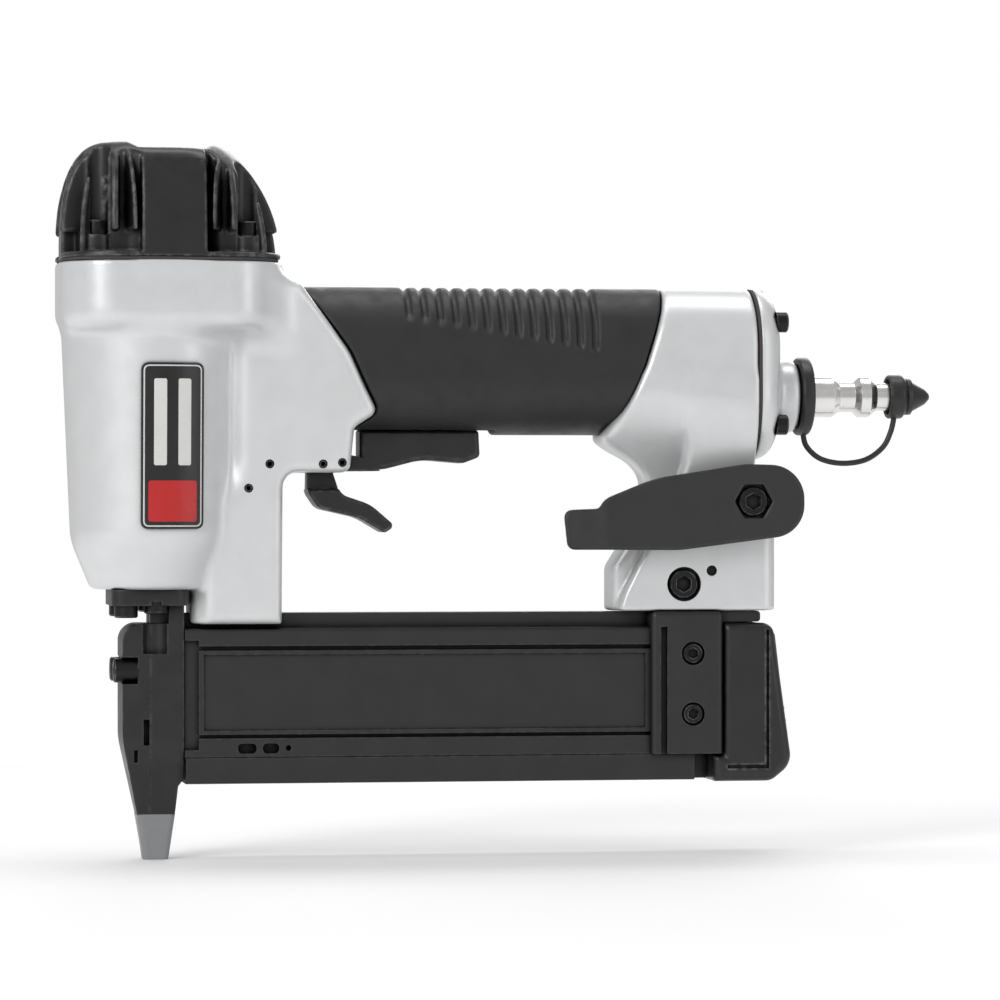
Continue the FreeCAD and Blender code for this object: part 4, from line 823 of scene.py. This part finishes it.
def end_cover():
    """Cast cover of the handle's rear, with the inlet boss, exhaust slots and screw seats."""
    points = grid((END_X0 - 1, -20.5, 110.5), (BOSS_X1 + 1, 20.5, 163.5), COVER_STEP)
    x, y, z = points
    _, half, low, high, corner = HOUSING_STATIONS[-1]
    cover = round_rect(y, z - (low + high) / 2, half, (high - low) / 2, corner)
    cover = soft_max(cover, x - END_X1, 8.0)
    bore = np.hypot(y, z - PLUG_Z)
    cover = soft_min(cover, soft_max(bore - BOSS_R, x - BOSS_X1, 2.4), 2.5)
    for slot in (-7.2, -2.4, 2.4, 7.2):
        cover = soft_cut(cover, round_rect(y - slot, z - 151.5, 1.1, 4.7, 1.0), 0.6)
    for py, pz in end_screw_places():
        seat = np.hypot(y - py, z - pz)
        cover = soft_cut(cover, np.maximum(seat - 3.1, END_SEAT_X - x), 0.5)
        cover = soft_cut(cover, seat - 1.8, 0.2)
    # the exhaust felt's pocket inside, and the bushing's hole
    felt = np.maximum(np.maximum(np.hypot(y, z - MUFFLER_Z) - 9.0, 146.5 - z), x - END_X1 + 2.0)
    cover = soft_cut(soft_cut(cover, felt, 0.2), bore - BUSH_R, 0.3)
    cover = soft_max(cover, END_X0 - x, 0.4)
    dress(skin("end_cover", points, cover, COVER_STEP), "cast_silver", replaces=("end_cap",))


def inlet_soft_parts():
    """The tether's ring, its cord and the dust cap."""
    ring = [(7.4, 0), (10.6, 0), (11.2, 0.6), (11.2, 3.2), (10.6, 3.8), (7.4, 3.8)]
    band = bevel(lathe("tether_ring", ring, "X", (BOSS_X1 + 0.1, 0, PLUG_Z)), 0.3, 2)
    dress(band, "cap_vinyl", replaces=("cap_tether",))
    profile = [
        (0, 12.6), (0.9, 12.3), (2.2, 11.0), (4.6, 6.6), (5.5, 4.6), (6.2, 4.2), (6.3, 3.6), (6.3, 0.5),
        (6.0, 0), (5.2, 0), (5.2, 6.8), (0, 6.8),
    ]
    cap = bevel(lathe("dust_cover", profile, "X", (DUST_X0, 0, PLUG_Z)), 0.25, 2, 40)
    dress(cap, "cap_vinyl", "dust_cap_body", ("dust_cap",))
    path = [
        (187.6, 120.6), (188.6, 116.6), (192.6, 113.0), (199.0, 111.6), (206.0, 112.6), (211.2, 116.2),
        (213.6, 120.8), (214.6, 125.2),
    ]
    cord = tube("tether_cord", path, 0.8)
    dress(cord, "cap_vinyl", body=None)
    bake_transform(cord)


# ---- springs --------------------------------------------------------------------------------
def spring(node, body, start, along, radius, wire, length, turns):
    """A coil in place of a CAD spring, which keeps a share of its length at its joint's limit.

    It runs from a start point along an axis.
    """
    start, along = Vector(start), Vector(along)
    across = Vector((along.z, 0, along.x))
    third = along.cross(across)
    count = int(turns * 24)
    line = []
    for k in range(count + 1):
        angle = math.tau * turns * k / count
        line.append(start + along * (wire + (length - 2 * wire) * k / count)
                    + (across * math.cos(angle) + third * math.sin(angle)) * radius)
    coil = sweep(f"{node}_coil", line, wire, 8)
    dress(coil, SLOT_OF[node], body, (node,))
    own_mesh(coil)


def springs():
    up, back = (0, 0, 1), (1, 0, 0)
    spring("head_valve_spring", "root", (0, 0, 177.1), up, 16.4, 0.7, 13.8, 4)
    spring("valve_spring", "root", (VALVE_X, 0, 133.5), up, 2.9, 0.35, 12.8, 6)
    spring("pusher_spring", "drawer", (20.1, 3.5, 39.0), back, 2.4, 0.38, 135.8, 30)
    spring("latch_spring", "drawer", (172.45, 0, 33.5), back, 2.2, 0.35, 3.9, 2.5)


# ---- studio ---------------------------------------------------------------------------------
def area_light(name, place, size, power, aim):
    light = bpy.data.lights.new(name, "AREA")
    light.shape = "RECTANGLE"
    light.size, light.size_y = size
    light.energy = power
    lamp = bpy.data.objects.new(name, light)
    lamp.location = place
    lamp.rotation_euler = (aim - Vector(place)).to_track_quat("-Z", "Y").to_euler()
    bpy.context.collection.objects.link(lamp)


def floor():
    bm = bmesh.new()
    bm.faces.new([bm.verts.new((px, py, 0)) for px, py in ((-1, -1), (1, -1), (1, 0.45), (-1, 0.45))])
    sheet = add_object("floor", mesh_of(bm, "floor"))
    paper = finish("floor_paper", (0.93, 0.93, 0.93), 0.8, mottle=0.01, mottle_size=300)
    sheet.data.materials.append(paper)


def sky():
    """Soft light from all round at half strength, over a backdrop that the camera sees as white."""
    world = bpy.data.worlds.new("studio")
    world.use_nodes = True
    tree = world.node_tree
    backdrop = tree.nodes["Background"]
    backdrop.inputs["Color"].default_value = (1, 1, 1, 1)
    rays = tree.nodes.new("ShaderNodeLightPath")
    strength = tree.nodes.new("ShaderNodeMapRange")
    strength.inputs["To Min"].default_value = 0.50
    tree.links.new(rays.outputs["Is Camera Ray"], strength.inputs["Value"])
    tree.links.new(strength.outputs["Result"], backdrop.inputs["Strength"])
    bpy.context.scene.world = world


def camera(middle):
    """Looks level at the tool's left side, turned a little towards its front."""
    seer = bpy.data.objects.new("camera", bpy.data.cameras.new("camera"))
    turn = math.radians(VIEW_TURN)
    towards = Vector((math.sin(turn), -math.cos(turn), 0))
    seer.location = Vector((middle.x, 0, middle.z)) + towards * VIEW_DISTANCE
    seer.rotation_euler = (math.pi / 2, 0, turn)
    seer.data.lens = 36 * VIEW_DISTANCE / VIEW_WIDTH
    seer.data.clip_end = 20
    bpy.context.collection.objects.link(seer)
    bpy.context.scene.camera = seer


def studio():
    """A pale floor under white, soft lights, and the camera."""
    low, high = (Vector(v) for v in CAD_BOX)
    middle = (low + high) / 2
    floor()
    area_light("key", (-0.60, -0.70, 0.60), (0.35, 0.6), 5.0, middle)
    area_light("fill", (0.85, -0.8, 0.35), (0.4, 0.9), 1.5, middle)
    area_light("top", (0.1, 0.1, 1.0), (0.9, 0.4), 3.5, middle)
    area_light("back", (0.4, 0.9, 0.6), (0.8, 0.4), 3, middle)
    sky()
    bpy.context.scene.view_settings.view_transform = "Standard"
    camera(middle)


dress_cad_nodes()
casting()
head_cap()
grip()
badge()
hook()
end_cover()
inlet_soft_parts()
springs()
studio()
